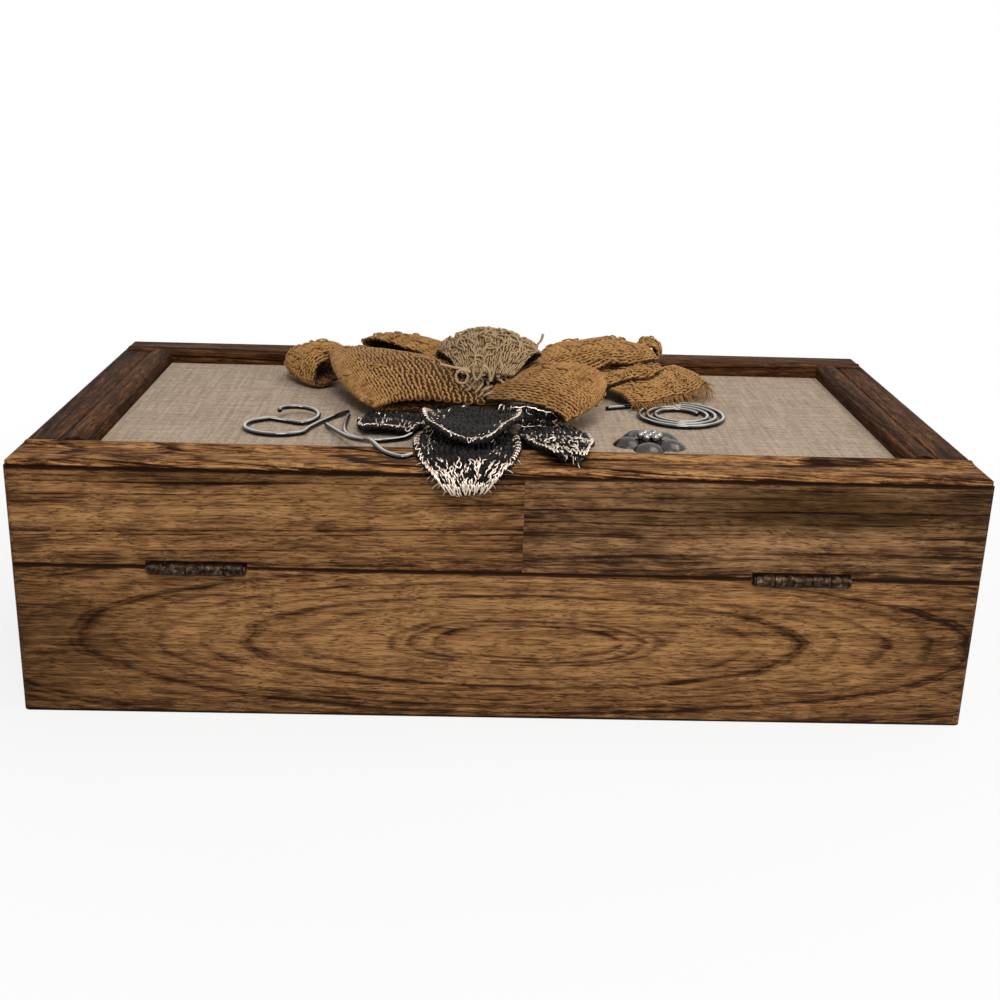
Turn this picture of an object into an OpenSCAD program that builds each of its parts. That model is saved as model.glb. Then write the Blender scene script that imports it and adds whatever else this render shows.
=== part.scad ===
// Wooden trinket box: butt-hinged lid with a moulded frame round a linen panel,
// dressed with a knitted fabric flower, wire scrolls and a small metal flower.
// Millimetres, Z up, origin at the middle of the underside, hinges on the -Y side.

/* [Box] */
// Width of the box along the hinge line
box_w = 254; // [200:1:320]
// Depth of the box from hinge side to opening side
box_d = 139.7; // [126:0.1:180]
// Height of the base up to the seam
base_h = 42; // [30:0.5:70]
// Height of the lid walls from the seam to the frame
lid_wall_h = 26.5; // [22:0.5:40]
// Thickness of every wall board
wall_t = 10; // [9:0.5:12]
// Radius of the upright outer corners
corner_r = 1.8; // [1:0.1:2.6]
// Depth of the eased edge along the seam
seam_ease = 0.4; // [0.2:0.1:0.8]
// Thickness of the bottom panel
bottom_t = 4; // [3:0.5:6]
// Width of the rebates that hold the bottom panel and the lid panel
rebate_w = 5; // [3:0.5:5.5]
// Place of the butt joint in the hinge-side wall of the lid
lid_joint_x = 5.5; // [-30:0.5:30]
// Play between a panel and its rebate
panel_play = 0.2; // [0.1:0.05:0.3]

/* [Lid frame] */
// Width of the frame rails
frame_w = 17.4; // [16:0.1:19]
// Thickness of the rails at their outer band
band_t = 2.2; // [2:0.1:3]
// Width of the flat outer band up to the groove
band_w = 9.8; // [9:0.1:10.5]
// Radius of the rounded outer edge
edge_r = 1.9; // [1:0.1:2]
// Depth of the groove between band and bead
groove_d = 0.5; // [0.3:0.1:0.7]
// Height of the bead over the band
bead_h = 0.9; // [0.5:0.1:1.3]
// Set-back of the frame from the wall faces
frame_inset = 0.3; // [0.2:0.1:0.5]

/* [Linen panel] */
// Thickness of the backing panel
panel_t = 3; // [2:0.5:4]
// Thickness of the linen
linen_t = 0.6; // [0.4:0.1:1]
// Depth of the linen below the top of the walls
linen_drop = 1.4; // [1:0.1:1.8]

/* [Hinges] */
// Distance of the middle of each hinge from the end of the box
hinge_inset = 48; // [42:1:60]
// Length of a hinge barrel
hinge_l = 24.6; // [20:0.2:32]
// Diameter of a hinge barrel
barrel_d = 3.4; // [3:0.1:4]
// Distance of the hinge axis behind the hinge-side face
axis_out = 0.9; // [0.6:0.1:1.6]
// Width of a leaf from the axis
leaf_w = 8.5; // [8:0.1:9.5]
// Thickness of a leaf
leaf_t = 0.8; // [0.6:0.1:1]
// Diameter of the pin
pin_d = 1.6; // [1.2:0.1:1.8]
// Radial clearance of the pin in the knuckles
pin_play = 0.05; // [0.02:0.01:0.1]
// Distance of a screw from the middle of its leaf
screw_x = 7.5; // [6:0.5:9]
// Diameter of a screw shank
screw_d = 1.8; // [1.4:0.1:2]
// Length of a screw
screw_l = 8; // [6:0.5:10]

/* [Flower] */
// Width of the whole flower, from which all its petals and wires are laid out
flower_w = 134; // [130:1:138]
// Thickness of the gold and greige knit
knit_t = 1; // [0.6:0.1:1.1]
// Thickness of the dark metallic mesh
mesh_t = 0.8; // [0.5:0.1:0.9]
// Height of the low waves in the knit
knit_wave = 0.4; // [0:0.1:0.5]
// Radius of the padded core under the centre
core_r = 7.5; // [6:0.5:8]
// Height of the padded core
core_h = 9; // [6:0.5:9.5]

/* [Wire and charm] */
// Diameter of the wire
wire_d = 1.4; // [1:0.1:1.5]
// Outer radius of the right spiral
spiral_r = 14; // [12:0.5:15]
// Turns of the right spiral
spiral_turns = 3.25; // [2:0.25:3.5]
// Step of the spiral from turn to turn
spiral_step = 2.4; // [2.2:0.1:2.6]
// Distance of the charm's petals from its middle
charm_reach = 6.2; // [5:0.1:7]
// Radius of one charm petal
charm_petal_r = 4.4; // [4:0.1:5]
// Height of the charm's petals
charm_h = 2.2; // [1:0.1:2.5]
// Radius of a charm bead
bead_r = 1.2; // [0.8:0.1:1.3]

/* [Hidden] */

$fn = 64;
wood = "#6b4a2c";
wood_dark = "#4a3020";
bronze = "#3a332c";
gold = "#a87a35";
greige = "#a08660";
dark = "#3b3635";
steel = "#8d8b86";

// Levels
wall_top = base_h + lid_wall_h;
linen_z = wall_top - linen_drop;
panel_z = linen_z - linen_t - panel_t;
band_z = wall_top + band_t;
crest_z = band_z + bead_h;
// Inner edge of the hinge-side rail, which the dark petals hang over
rail_y = frame_w - box_d / 2;
axis_y = -box_d / 2 - axis_out;
hinge_x = box_w / 2 - hinge_inset;
knuckles = 5;
knuckle_gap = 0.2;
knuckle_l = hinge_l / knuckles;
barrel_room = 0.3;
leaf_gap = 0.1;
mortise_play = 0.3;
pin_head_t = 0.5;
pin_head_r = barrel_d / 2 - 0.4;
screw_y = axis_y + 0.72 * leaf_w;
screw_play = 0.05;
screw_head_r = screw_d / 2 + 0.7;
slot_w = 0.4;
slot_d = 0.3;
cut = 1;

// Wooden walls

// Plan of the box with rounded upright corners, drawn in by inset.
module plan(inset) {
    w = box_w - 2 * inset;
    d = box_d - 2 * inset;
    square([w - 2 * corner_r, d], center = true);
    square([w, d - 2 * corner_r], center = true);
    for (x = [-1, 1], y = [-1, 1])
        translate([x * (w / 2 - corner_r), y * (d / 2 - corner_r)]) circle(corner_r);
}

// Wall along X on the side y_side, from x0 to x1.
module long_board(y_side, x0, x1, z, h) {
    y = y_side > 0 ? box_d / 2 - wall_t : -box_d / 2;
    translate([x0, y, z]) cube([x1 - x0, wall_t, h]);
}

// Wall along Y on the side x_side, butted between the long walls.
module short_board(x_side, z, h) {
    x = x_side > 0 ? box_w / 2 - wall_t : -box_w / 2;
    translate([x, -box_d / 2 + wall_t, z]) cube([wall_t, box_d - 2 * wall_t, h]);
}

// Rebate all round the inside, for a panel.
module rebate(z, h) {
    w = box_w - 2 * wall_t + 2 * rebate_w;
    d = box_d - 2 * wall_t + 2 * rebate_w;
    translate([-w / 2, -d / 2, z]) cube([w, d, h]);
}

// V cut along the seam on all four sides, which eases both edges.
module seam_groove() {
    side = seam_ease * sqrt(2);
    for (y = [-1, 1])
        translate([0, y * box_d / 2, base_h]) rotate([45, 0, 0])
            cube([box_w + 2 * cut, side, side], center = true);
    for (x = [-1, 1])
        translate([x * box_w / 2, 0, base_h]) rotate([0, 45, 0])
            cube([side, box_d + 2 * cut, side], center = true);
}

module round_corners(z, h) {
    intersection() {
        children();
        translate([0, 0, z]) linear_extrude(h) plan(0);
    }
}

module base_board() {
    difference() {
        round_corners(0, base_h) children();
        rebate(-cut, bottom_t + cut);
        seam_groove();
        hinge_seats();
    }
}

module lid_board() {
    difference() {
        round_corners(base_h, lid_wall_h) children();
        rebate(panel_z, wall_top - panel_z + cut);
        seam_groove();
        hinge_seats();
    }
}

// A panel that fills a rebate with play all round.
module rebate_panel(z, t) {
    w = box_w - 2 * wall_t + 2 * rebate_w - 2 * panel_play;
    d = box_d - 2 * wall_t + 2 * rebate_w - 2 * panel_play;
    translate([-w / 2, -d / 2, z]) cube([w, d, t]);
}

module base_hinge_wall() { color(wood) base_board() long_board(-1, -box_w / 2, box_w / 2, 0, base_h); }
module base_front_wall() { color(wood) base_board() long_board(1, -box_w / 2, box_w / 2, 0, base_h); }
module base_left_wall() { color(wood_dark) base_board() short_board(-1, 0, base_h); }
module base_right_wall() { color(wood_dark) base_board() short_board(1, 0, base_h); }
module base_bottom_panel() { color(wood_dark) rebate_panel(0, bottom_t); }

module lid_hinge_wall_left() {
    color(wood) lid_board() long_board(-1, -box_w / 2, lid_joint_x, base_h, lid_wall_h);
}
module lid_hinge_wall_right() {
    color(wood) lid_board() long_board(-1, lid_joint_x, box_w / 2, base_h, lid_wall_h);
}
module lid_front_wall() {
    color(wood) lid_board() long_board(1, -box_w / 2, box_w / 2, base_h, lid_wall_h);
}
module lid_left_wall() { color(wood_dark) lid_board() short_board(-1, base_h, lid_wall_h); }
module lid_right_wall() { color(wood_dark) lid_board() short_board(1, base_h, lid_wall_h); }
module lid_panel() { color(wood_dark) rebate_panel(panel_z, panel_t); }
module linen_cover() { color("#a39583") rebate_panel(panel_z + panel_t, linen_t); }

// Moulded frame

arc_steps = 8;
bead_round = 1.2;

// Section of a rail: distance in from the wall face, height.
// Rounded outer edge, flat band, V groove, half-round bead, upright inner face, lip on the linen.
frame_section = concat(
    [[wall_t, wall_top], [frame_inset, wall_top]],
    [for (i = [0:arc_steps])
        let (a = 180 - 90 * i / arc_steps)
        [frame_inset + edge_r + edge_r * cos(a), band_z - edge_r + edge_r * sin(a)]],
    [[band_w - groove_d, band_z], [band_w, band_z - groove_d]],
    [for (i = [1:arc_steps])
        let (t = i / arc_steps, rise = groove_d + bead_h)
        [band_w + t * (frame_w - bead_round - band_w), band_z - groove_d + rise * sin(150 * t) ]],
    [for (i = [1:arc_steps / 2])
        let (a = 90 - 90 * i / (arc_steps / 2), top = band_z - groove_d + (groove_d + bead_h) * sin(150))
        [frame_w - bead_round + bead_round * cos(a), top - bead_round + bead_round * sin(a)]],
    [[frame_w, linen_z], [wall_t, linen_z]]
);

// Rounded top edges and upright corners that all four rails share.
module frame_envelope() {
    w = box_w - 2 * frame_inset;
    d = box_d - 2 * frame_inset;
    intersection() {
        translate([0, 0, linen_z]) linear_extrude(crest_z - linen_z + cut) plan(frame_inset);
        rotate([90, 0, 90]) translate([0, 0, -box_w / 2]) linear_extrude(box_w) edge_section(d);
        rotate([90, 0, 0]) translate([0, 0, -box_d / 2]) linear_extrude(box_d) edge_section(w);
    }
}

// Upright section of the whole frame, rounded where the outer band is and open above the beads.
module edge_section(span) {
    difference() {
        translate([-span / 2, linen_z]) square([span, crest_z - linen_z + cut]);
        for (s = [-1, 1])
            translate([s * span / 2, band_z]) difference() {
                square([2 * edge_r, 2 * edge_r], center = true);
                translate([-s * edge_r, -edge_r]) circle(edge_r);
            }
    }
}

// The lip of a long rail stops at the side walls.
module long_rail() {
    difference() {
        intersection() {
            translate([-box_w / 2, -box_d / 2, 0]) rotate([90, 0, 90])
                linear_extrude(box_w) polygon(frame_section);
            frame_envelope();
        }
        for (x = [-1, 1])
            translate([x * (box_w / 2 - wall_t / 2), 0, wall_top - linen_drop])
                cube([wall_t, box_d, 2 * linen_drop], center = true);
    }
}

module short_rail() {
    intersection() {
        translate([-box_w / 2, box_d / 2 - frame_w, 0]) rotate([90, 0, 0])
            linear_extrude(box_d - 2 * frame_w) polygon(frame_section);
        frame_envelope();
    }
}

module frame_hinge_rail() { color(wood) long_rail(); }
module frame_front_rail() { color(wood) mirror([0, 1, 0]) long_rail(); }
module frame_left_rail() { color(wood_dark) short_rail(); }
module frame_right_rail() { color(wood_dark) mirror([1, 0, 0]) short_rail(); }

// Butt hinges

module along_axis(x, r, l) { translate([x, axis_y, base_h]) rotate([0, 90, 0]) cylinder(r = r, h = l); }

// Mortise for both leaves and round room for the barrel, cut from the walls.
module hinge_seats() {
    for (s = [-1, 1]) {
        room_l = hinge_l + 2 * pin_head_t + 2 * mortise_play;
        along_axis(s * hinge_x - room_l / 2, barrel_d / 2 + barrel_room, room_l);
        deep = leaf_t + leaf_gap;
        translate([s * hinge_x - hinge_l / 2 - mortise_play, axis_y, base_h - deep])
            cube([hinge_l + 2 * mortise_play, leaf_w + mortise_play, 2 * deep]);
        for (x = [-1, 1])
            translate([s * hinge_x + x * screw_x, screw_y, base_h - screw_l - leaf_gap - mortise_play])
                cylinder(d = screw_d + 2 * screw_play, h = 2 * (screw_l + leaf_gap + mortise_play));
    }
}

// Knuckles first, first + 2, ... of the barrel at hinge place x, grown by extra.
module knuckle_row(x, first, extra) {
    for (k = [first:2:knuckles - 1])
        along_axis(x - hinge_l / 2 + k * knuckle_l + knuckle_gap / 2 - extra, barrel_d / 2 + extra,
            knuckle_l - knuckle_gap + 2 * extra);
}

// A leaf lies above the seam (up = 1) or below it (up = -1).
module hinge_leaf(x, first, up) {
    z = up > 0 ? base_h + leaf_gap : base_h - leaf_gap - leaf_t;
    difference() {
        union() {
            knuckle_row(x, first, 0);
            difference() {
                translate([x - hinge_l / 2, axis_y, z]) cube([hinge_l, leaf_w, leaf_t]);
                knuckle_row(x, 1 - first, knuckle_gap);
            }
        }
        along_axis(x - hinge_l / 2 - cut, pin_d / 2 + pin_play, hinge_l + 2 * cut);
        for (s = [-1, 1])
            translate([x + s * screw_x, screw_y, base_h]) screw_shape(up, screw_play);
    }
}

// Countersunk screw with its head flush with the leaf, grown by extra.
module screw_shape(up, extra) {
    mirror([0, 0, up > 0 ? 0 : 1]) translate([0, 0, leaf_gap]) {
        cylinder(r1 = screw_head_r + extra, r2 = screw_d / 2 + extra, h = leaf_t);
        cylinder(d = screw_d + 2 * extra, h = screw_l);
    }
}

module hinge_pin(x) {
    along_axis(x - hinge_l / 2 - knuckle_gap, pin_d / 2, hinge_l + 2 * knuckle_gap);
    for (s = [0, 1])
        along_axis(x - hinge_l / 2 - pin_head_t + s * (hinge_l + pin_head_t), pin_head_r, pin_head_t);
}

module hinge_screws(up) {
    for (h = [-1, 1], s = [-1, 1])
        translate([h * hinge_x + s * screw_x, screw_y, base_h]) difference() {
            screw_shape(up, 0);
            translate([0, 0, up * leaf_gap]) cube([4 * screw_head_r, slot_w, 2 * slot_d], center = true);
        }
}

module hinge_left_base_leaf() { color(bronze) hinge_leaf(-hinge_x, 0, -1); }
module hinge_left_lid_leaf() { color(bronze) hinge_leaf(-hinge_x, 1, 1); }
module hinge_left_pin() { color(bronze) hinge_pin(-hinge_x); }
module hinge_right_base_leaf() { color(bronze) hinge_leaf(hinge_x, 0, -1); }
module hinge_right_lid_leaf() { color(bronze) hinge_leaf(hinge_x, 1, 1); }
module hinge_right_pin() { color(bronze) hinge_pin(hinge_x); }
module hinge_screws_base() { color(bronze) hinge_screws(-1); }
module hinge_screws_lid() { color(bronze) hinge_screws(1); }

// Knitted flower

petal_rings = 20;
petal_points = 7;
petal_belly = 0.45;
waves = 2;
wave_turn = 126;
// The flower is laid out for a width of 134 mm and grown to the width that is set
grow = flower_w / 134;

function unit(v) = v / norm(v);
function bezier(c, u) = pow(1 - u, 3) * c[0] + 3 * u * pow(1 - u, 2) * c[1]
    + 3 * u * u * (1 - u) * c[2] + pow(u, 3) * c[3];
function bezier_way(c, u) = unit(pow(1 - u, 2) * (c[1] - c[0]) + 2 * u * (1 - u) * (c[2] - c[1])
    + u * u * (c[3] - c[2]));
function mix(pair, u) = pair[0] * (1 - u) + pair[1] * u;

// Half width of a petal: its two end widths, swelling to half at the belly.
function petal_half(half, ends, u) =
    let (k = ln(0.5) / ln(petal_belly))
    grow * (mix(ends, u) + (half - mix(ends, petal_belly)) * pow(sin(180 * pow(u, k)), 0.8));

// Bend of the section at u, given at the start, the middle and the end of the spine.
function petal_bend(fold, u) =
    mix([fold[0], fold[2]], u) + (fold[1] - (fold[0] + fold[2]) / 2) * sin(180 * u);

// A point of a petal. The spine is a Bezier curve; where it turns back under itself the petal is a
// loop of ribbon. The section lies along the direction across, tilted by lean, and is an arc that
// bends by fold degrees in all. off is the distance from the middle of the cloth.
function petal_point(spine, half, ends, across, fold, lean, u, v, off) =
    let (side = [cos(across) * cos(lean), sin(across) * cos(lean), sin(lean)])
    let (up = unit(cross(side, bezier_way(spine, u))))
    let (bend = petal_bend(fold, u))
    let (r = petal_half(half, ends, u) / (bend / 2 * PI / 180))
    let (a = v * bend / 2)
    let (wave = grow * knit_wave * sin(360 * waves * u + wave_turn * v))
    bezier(spine, u) + (r + off) * sin(a) * side + ((r + off) * cos(a) - r + wave) * up;

// Closed sheet of cloth: an upper and a lower grid joined along the four edges.
module petal(spine, half, ends, across, fold, lean, t) {
    m = petal_rings;
    n = petal_points;
    grid = [for (off = [t / 2, -t / 2], i = [0:m - 1], j = [0:n - 1])
        petal_point(spine, half, ends, across, fold, lean, i / (m - 1), 2 * j / (n - 1) - 1, off)];
    low = m * n;
    top = [for (i = [0:m - 2], j = [0:n - 2])
        let (a = i * n + j, b = a + n, c = b + 1, d = a + 1)
        each [[a, b, c], [a, c, d]]];
    edge = concat(
        [for (i = [0:m - 2]) [(i + 1) * n, i * n]],
        [for (i = [0:m - 2]) [i * n + n - 1, (i + 1) * n + n - 1]],
        [for (j = [0:n - 2]) [j, j + 1]],
        [for (j = [0:n - 2]) [(m - 1) * n + j + 1, (m - 1) * n + j]]
    );
    polyhedron(grid, concat(
        top,
        [for (f = top) [f[2] + low, f[1] + low, f[0] + low]],
        [for (e = edge) each [[e[0], e[1], e[1] + low], [e[0], e[1] + low, e[0] + low]]]
    ));
}

// Gold and greige petals stand on the linen, so their heights are given over it.
function on_linen(points) = [for (p = points) grow * p + [0, 0, linen_z]];

module petal_gold_left() {
    color(gold) petal(on_linen([[-8, 4, 9.4], [-49, 4, 23], [-67, 5, -0.8], [-20, 3, 5.4]]),
        22, [13, 12], 112, [50, 36, 14], 10, knit_t);
}
module petal_gold_left_roll() {
    color(gold) petal(on_linen([[-50, 37, 10], [-68, 26, 18], [-70, 22, -6.2], [-53, 34, 3.2]]),
        10, [8, 9], 122, [50, 40, 40], 4, knit_t);
}
module petal_gold_back_left() {
    color(gold) petal(on_linen([[-15.9, 31.5, 11], [-44.9, 49.5, 19.6], [-47.9, 51.5, 5], [-17.9, 36.5, 4.6]]),
        11, [9, 8], 57, [32, 20, 24], -6, knit_t);
}
module petal_gold_right_front() {
    color(gold) petal(on_linen([[0, 0, 9], [24, -16, 23.6], [40, -30, 2.4], [12, -9, 5]]),
        15.5, [10.5, 9], -118, [44, 40, 18], -11, knit_t);
}
module petal_gold_right_back() {
    color(gold) petal(on_linen([[13, 20, 9.8], [24, 25, 16.8], [38, 31, 16.4], [48.5, 37, 12.8]]),
        12.5, [9.5, 9], -64, [56, 56, 56], -6, knit_t);
}
module petal_gold_right_fold() {
    color(gold) petal(on_linen([[27, 14, 6.3], [35, 18, 8.6], [45, 22, 9.3], [51, 27, 9.1]]),
        6, [4, 4], -60, [40, 40, 40], -4, knit_t);
}
module petal_gold_right_roll() {
    color(gold) petal(on_linen([[50, 39.1, 12.2], [50.4, 42.7, 13.2], [50.4, 45.7, 13.5], [50, 49.7, 12.9]]),
        9, [7, 7], 0, [280, 280, 280], 0, knit_t);
}
module petal_gold_right_frayed() {
    color(gold) petal(on_linen([[37, 9.4, 4.2], [45, 13, 5.2], [55, 20.4, 5.8], [63, 31, 6.4]]),
        9, [6.4, 8.6], -60, [30, 30, 30], -8, knit_t);
}
module flower_centre_tuft() {
    color(greige) petal(on_linen([[-3, 32, 8.4], [-2.5, 26, 22], [-4, 7, 27], [-4, -6.4, 13.1]]),
        18.5, [12, 8], 166, [84, 88, 26], -4, knit_t);
}

// Low dome that the petals are gathered on.
core_place = [-3, 8];
module flower_core() {
    color(greige) translate([grow * core_place[0], grow * core_place[1], linen_z]) rotate_extrude()
        polygon(concat([[0, 0]], [for (a = [0:10:80]) [core_r * cos(a), core_h * sin(a)]], [[0, core_h]]));
}

// Dark petals lie on the hinge-side rail, so they are placed from its inner edge and its crest.
function on_rail(points) = [for (p = points) grow * p + [0, rail_y, crest_z]];

module petal_dark_left() {
    color(dark) petal(on_linen([[-30, -11.5, 1.5], [-31, -18, 1.5], [-31.6, -25, 2.6], [-32, -31.5, 2.8]]),
        9.8, [9, 7], 180, [10, 16, 24], 0, mesh_t);
}
module petal_dark_cup_lower() {
    color(dark) petal(on_rail([[-9.5, 30, -2.4], [-9.5, 0, 1.6], [-9.5, -23.5, 6.6], [-9.5, -21.8, -6.6]]),
        14, [8, 4], 180, [14, 20, 40], 0, mesh_t);
}
module petal_dark_cup_upper() {
    color(dark) petal(on_rail([[-5, 41, -0.8], [-9, 14, 1], [-9, 0, 4], [-9, -13.2, 4.8]]),
        14.5, [6.5, 6], 180, [-10, -60, -60], 0, mesh_t);
}
module petal_dark_right() {
    color(dark) petal(on_rail([[13.8, 34, -3], [14.8, 8, -2], [15.4, -4, 5.6], [17.2, -13, 1.8]]),
        9.5, [7, 3.5], 180, [16, 20, 40], 0, mesh_t);
}

// Wire work

wire_sides = 6;
loop_rings = 24;
wire_lift = 0.1;
lay_z = wire_d / 2 + wire_lift;

// Tube of wire along a list of points, one closed solid.
module wire(points) {
    m = len(points);
    n = wire_sides;
    ring = [for (i = [0:m - 1], j = [0:n - 1])
        let (way = unit(points[min(i + 1, m - 1)] - points[max(i - 1, 0)]))
        let (side = unit(cross(way, [0, 0, 1])))
        let (a = 360 * j / n)
        points[i] + wire_d / 2 * (cos(a) * side + sin(a) * cross(side, way))];
    wall = [for (i = [0:m - 2], j = [0:n - 1])
        let (a = i * n + j, b = i * n + (j + 1) % n)
        each [[a, b + n, a + n], [a, b, b + n]]];
    caps = [for (j = [1:n - 2])
        each [[0, j + 1, j], [(m - 1) * n, (m - 1) * n + j, (m - 1) * n + j + 1]]];
    polyhedron(ring, concat(wall, caps));
}

// Points of a smooth curve through the given points.
function through(p, steps) = [for (i = [0:len(p) - 2], k = [0:steps - 1])
    let (a = p[max(i - 1, 0)], b = p[i], c = p[i + 1], d = p[min(i + 2, len(p) - 1)], t = k / steps)
    b + 0.5 * t * (c - a) + t * t * (a - 2.5 * b + 2 * c - 0.5 * d)
        + t * t * t * (1.5 * b - 0.5 * a - 1.5 * c + 0.5 * d)];

// Part of an ellipse, from angle a0 to a1 and from height z0 to z1, with 24 points to a turn.
function oval(mid, r, a0, a1, z0, z1) =
    let (n = ceil(abs(a1 - a0) / 360 * loop_rings))
    [for (i = [0:n])
        let (a = a0 + (a1 - a0) * i / n)
        [mid[0] + r[0] * cos(a), mid[1] + r[1] * sin(a), mix([z0, z1], i / n)]];

// Least gap of a wire to itself, leaving out neighbours along it.
function self_gap(p) = min([for (i = [0:len(p) - 1], j = [i + 8:1:len(p) - 1]) norm(p[i] - p[j])]) - wire_d;

// Wire points: grown in plan, with their heights given over the linen.
function laid(points) = [for (p = points) [grow * p[0], grow * p[1], linen_z + p[2]]];

// Stem, large loop, small loop turned the other way and lifted over the large one.
scroll_path = laid(concat(
    [[-45, -8, lay_z], [-49, -14, lay_z], [-52.5, -21, lay_z], [-54.6, -26.5, lay_z]],
    oval([-63, -25], [9.8, 8.5], -40, -250, lay_z, lay_z),
    oval([-58.5, -15.5], [5.6, 6], -80, 190, lay_z, lay_z + 2.4)
));

// From the linen up over the hinge-side rail: plan points from the rail's inner edge, but the
// foot beside the scroll lies as far from the linen's middle as the scroll does.
rail_up = crest_z - linen_z;
hook_foot = -22;
hook_bends = [
    [-50, hook_foot - rail_y / grow, 0], [-42.5, 12, 2], [-37.5, 4, 3.4], [-35, -1.5, rail_up + 0.4],
    [-31, -10, rail_up], [-26.5, -13.5, rail_up - 0.2], [-23.5, -12, rail_up]
];
hook_path = [for (p = concat(through(hook_bends, 4), [hook_bends[len(hook_bends) - 1]]))
    [grow * p[0], rail_y + grow * p[1], linen_z + lay_z + p[2]]];

loop_path = laid(concat(
    through([
        [-44.5, -12, lay_z], [-44.5, -24, lay_z], [-43, -32, lay_z], [-38.5, -36.5, lay_z],
        [-33, -37, lay_z], [-27.5, -34.5, lay_z], [-25, -32, lay_z + 0.5]
    ], 4),
    [[-25, -32, lay_z + 0.5]]
));

spiral_mid = grow * [54.5, -3.5];
spiral_start = 110;
// Straight stem, then turns that draw in at a steady rate.
spiral_path = concat(
    [for (t = [0:0.2:0.8]) let (a = spiral_start)
        concat(mix([grow * [33, 3], spiral_mid + spiral_r * [cos(a), sin(a)]], t), linen_z + lay_z)],
    [for (i = [0:spiral_turns * loop_rings])
        let (t = i / loop_rings, a = spiral_start - 360 * t, r = spiral_r - spiral_step * t)
        [spiral_mid[0] + r * cos(a), spiral_mid[1] + r * sin(a), linen_z + lay_z]]
);

echo("least gap of the right spiral to itself, mm", self_gap(spiral_path));
echo("least gap of the left scroll to itself, mm", self_gap(scroll_path));

module wire_scroll_left() { color(steel) wire(scroll_path); }
module wire_hook() { color(steel) wire(hook_path); }
module wire_loop() { color(steel) wire(loop_path); }
module wire_spiral_right() { color(steel) wire(spiral_path); }

// Small stamped metal flower with beads in its middle

charm_mid = grow * [42, -32];
charm_petals = 5;
charm_turn = 46;
boss_r = 4.2;
bead_sink = 0.3;
bead_room = 0.15;
// Radius of the sphere whose cap is one petal, and radius of the ring of beads
dome_r = (charm_petal_r * charm_petal_r + charm_h * charm_h) / (2 * charm_h);
ring_r = 2 * bead_r + 0.1;
// Height at which the ring of beads just clears the petals
boss_h = sqrt(pow(dome_r + bead_r + bead_room, 2) - pow(charm_reach - ring_r, 2))
    - dome_r + charm_h - bead_r + bead_sink;

module charm_flower() {
    color(steel) translate([charm_mid[0], charm_mid[1], linen_z]) {
        cylinder(r = boss_r, h = boss_h);
        for (k = [0:charm_petals - 1])
            rotate(charm_turn + k * 360 / charm_petals) translate([charm_reach, 0, 0]) intersection() {
                translate([0, 0, charm_h - dome_r]) sphere(dome_r);
                cylinder(r = charm_petal_r, h = charm_h + cut);
            }
    }
}

module charm_beads() {
    color(steel) translate([charm_mid[0], charm_mid[1], linen_z + boss_h])
        for (k = [-1:5])
            rotate(60 * k) translate([k < 0 ? 0 : ring_r, 0, 0]) intersection() {
                translate([0, 0, bead_r - bead_sink]) sphere(bead_r);
                cylinder(r = 2 * bead_r, h = 2 * bead_r);
            }
}

base_hinge_wall();
base_front_wall();
base_left_wall();
base_right_wall();
base_bottom_panel();
lid_hinge_wall_left();
lid_hinge_wall_right();
lid_front_wall();
lid_left_wall();
lid_right_wall();
frame_hinge_rail();
frame_front_rail();
frame_left_rail();
frame_right_rail();
lid_panel();
linen_cover();
hinge_left_base_leaf();
hinge_left_lid_leaf();
hinge_left_pin();
hinge_right_base_leaf();
hinge_right_lid_leaf();
hinge_right_pin();
hinge_screws_base();
hinge_screws_lid();
petal_gold_left();
petal_gold_left_roll();
petal_gold_back_left();
petal_gold_right_front();
petal_gold_right_back();
petal_gold_right_fold();
petal_gold_right_roll();
petal_gold_right_frayed();
flower_core();
flower_centre_tuft();
petal_dark_left();
petal_dark_cup_lower();
petal_dark_cup_upper();
petal_dark_right();
wire_scroll_left();
wire_hook();
wire_loop();
wire_spiral_right();
charm_flower();
charm_beads();
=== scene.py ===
# %% [markdown]
# # A wooden trinket box with a knitted flower on its lid
# The box stands on a pale floor and is seen from its hinge side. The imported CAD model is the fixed
# frame: every wall, rail and hinge leaf is already in place at its real size. This lesson gives those
# pieces their finish and makes what a solid cannot hold, such as the stitches of the flower.

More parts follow.
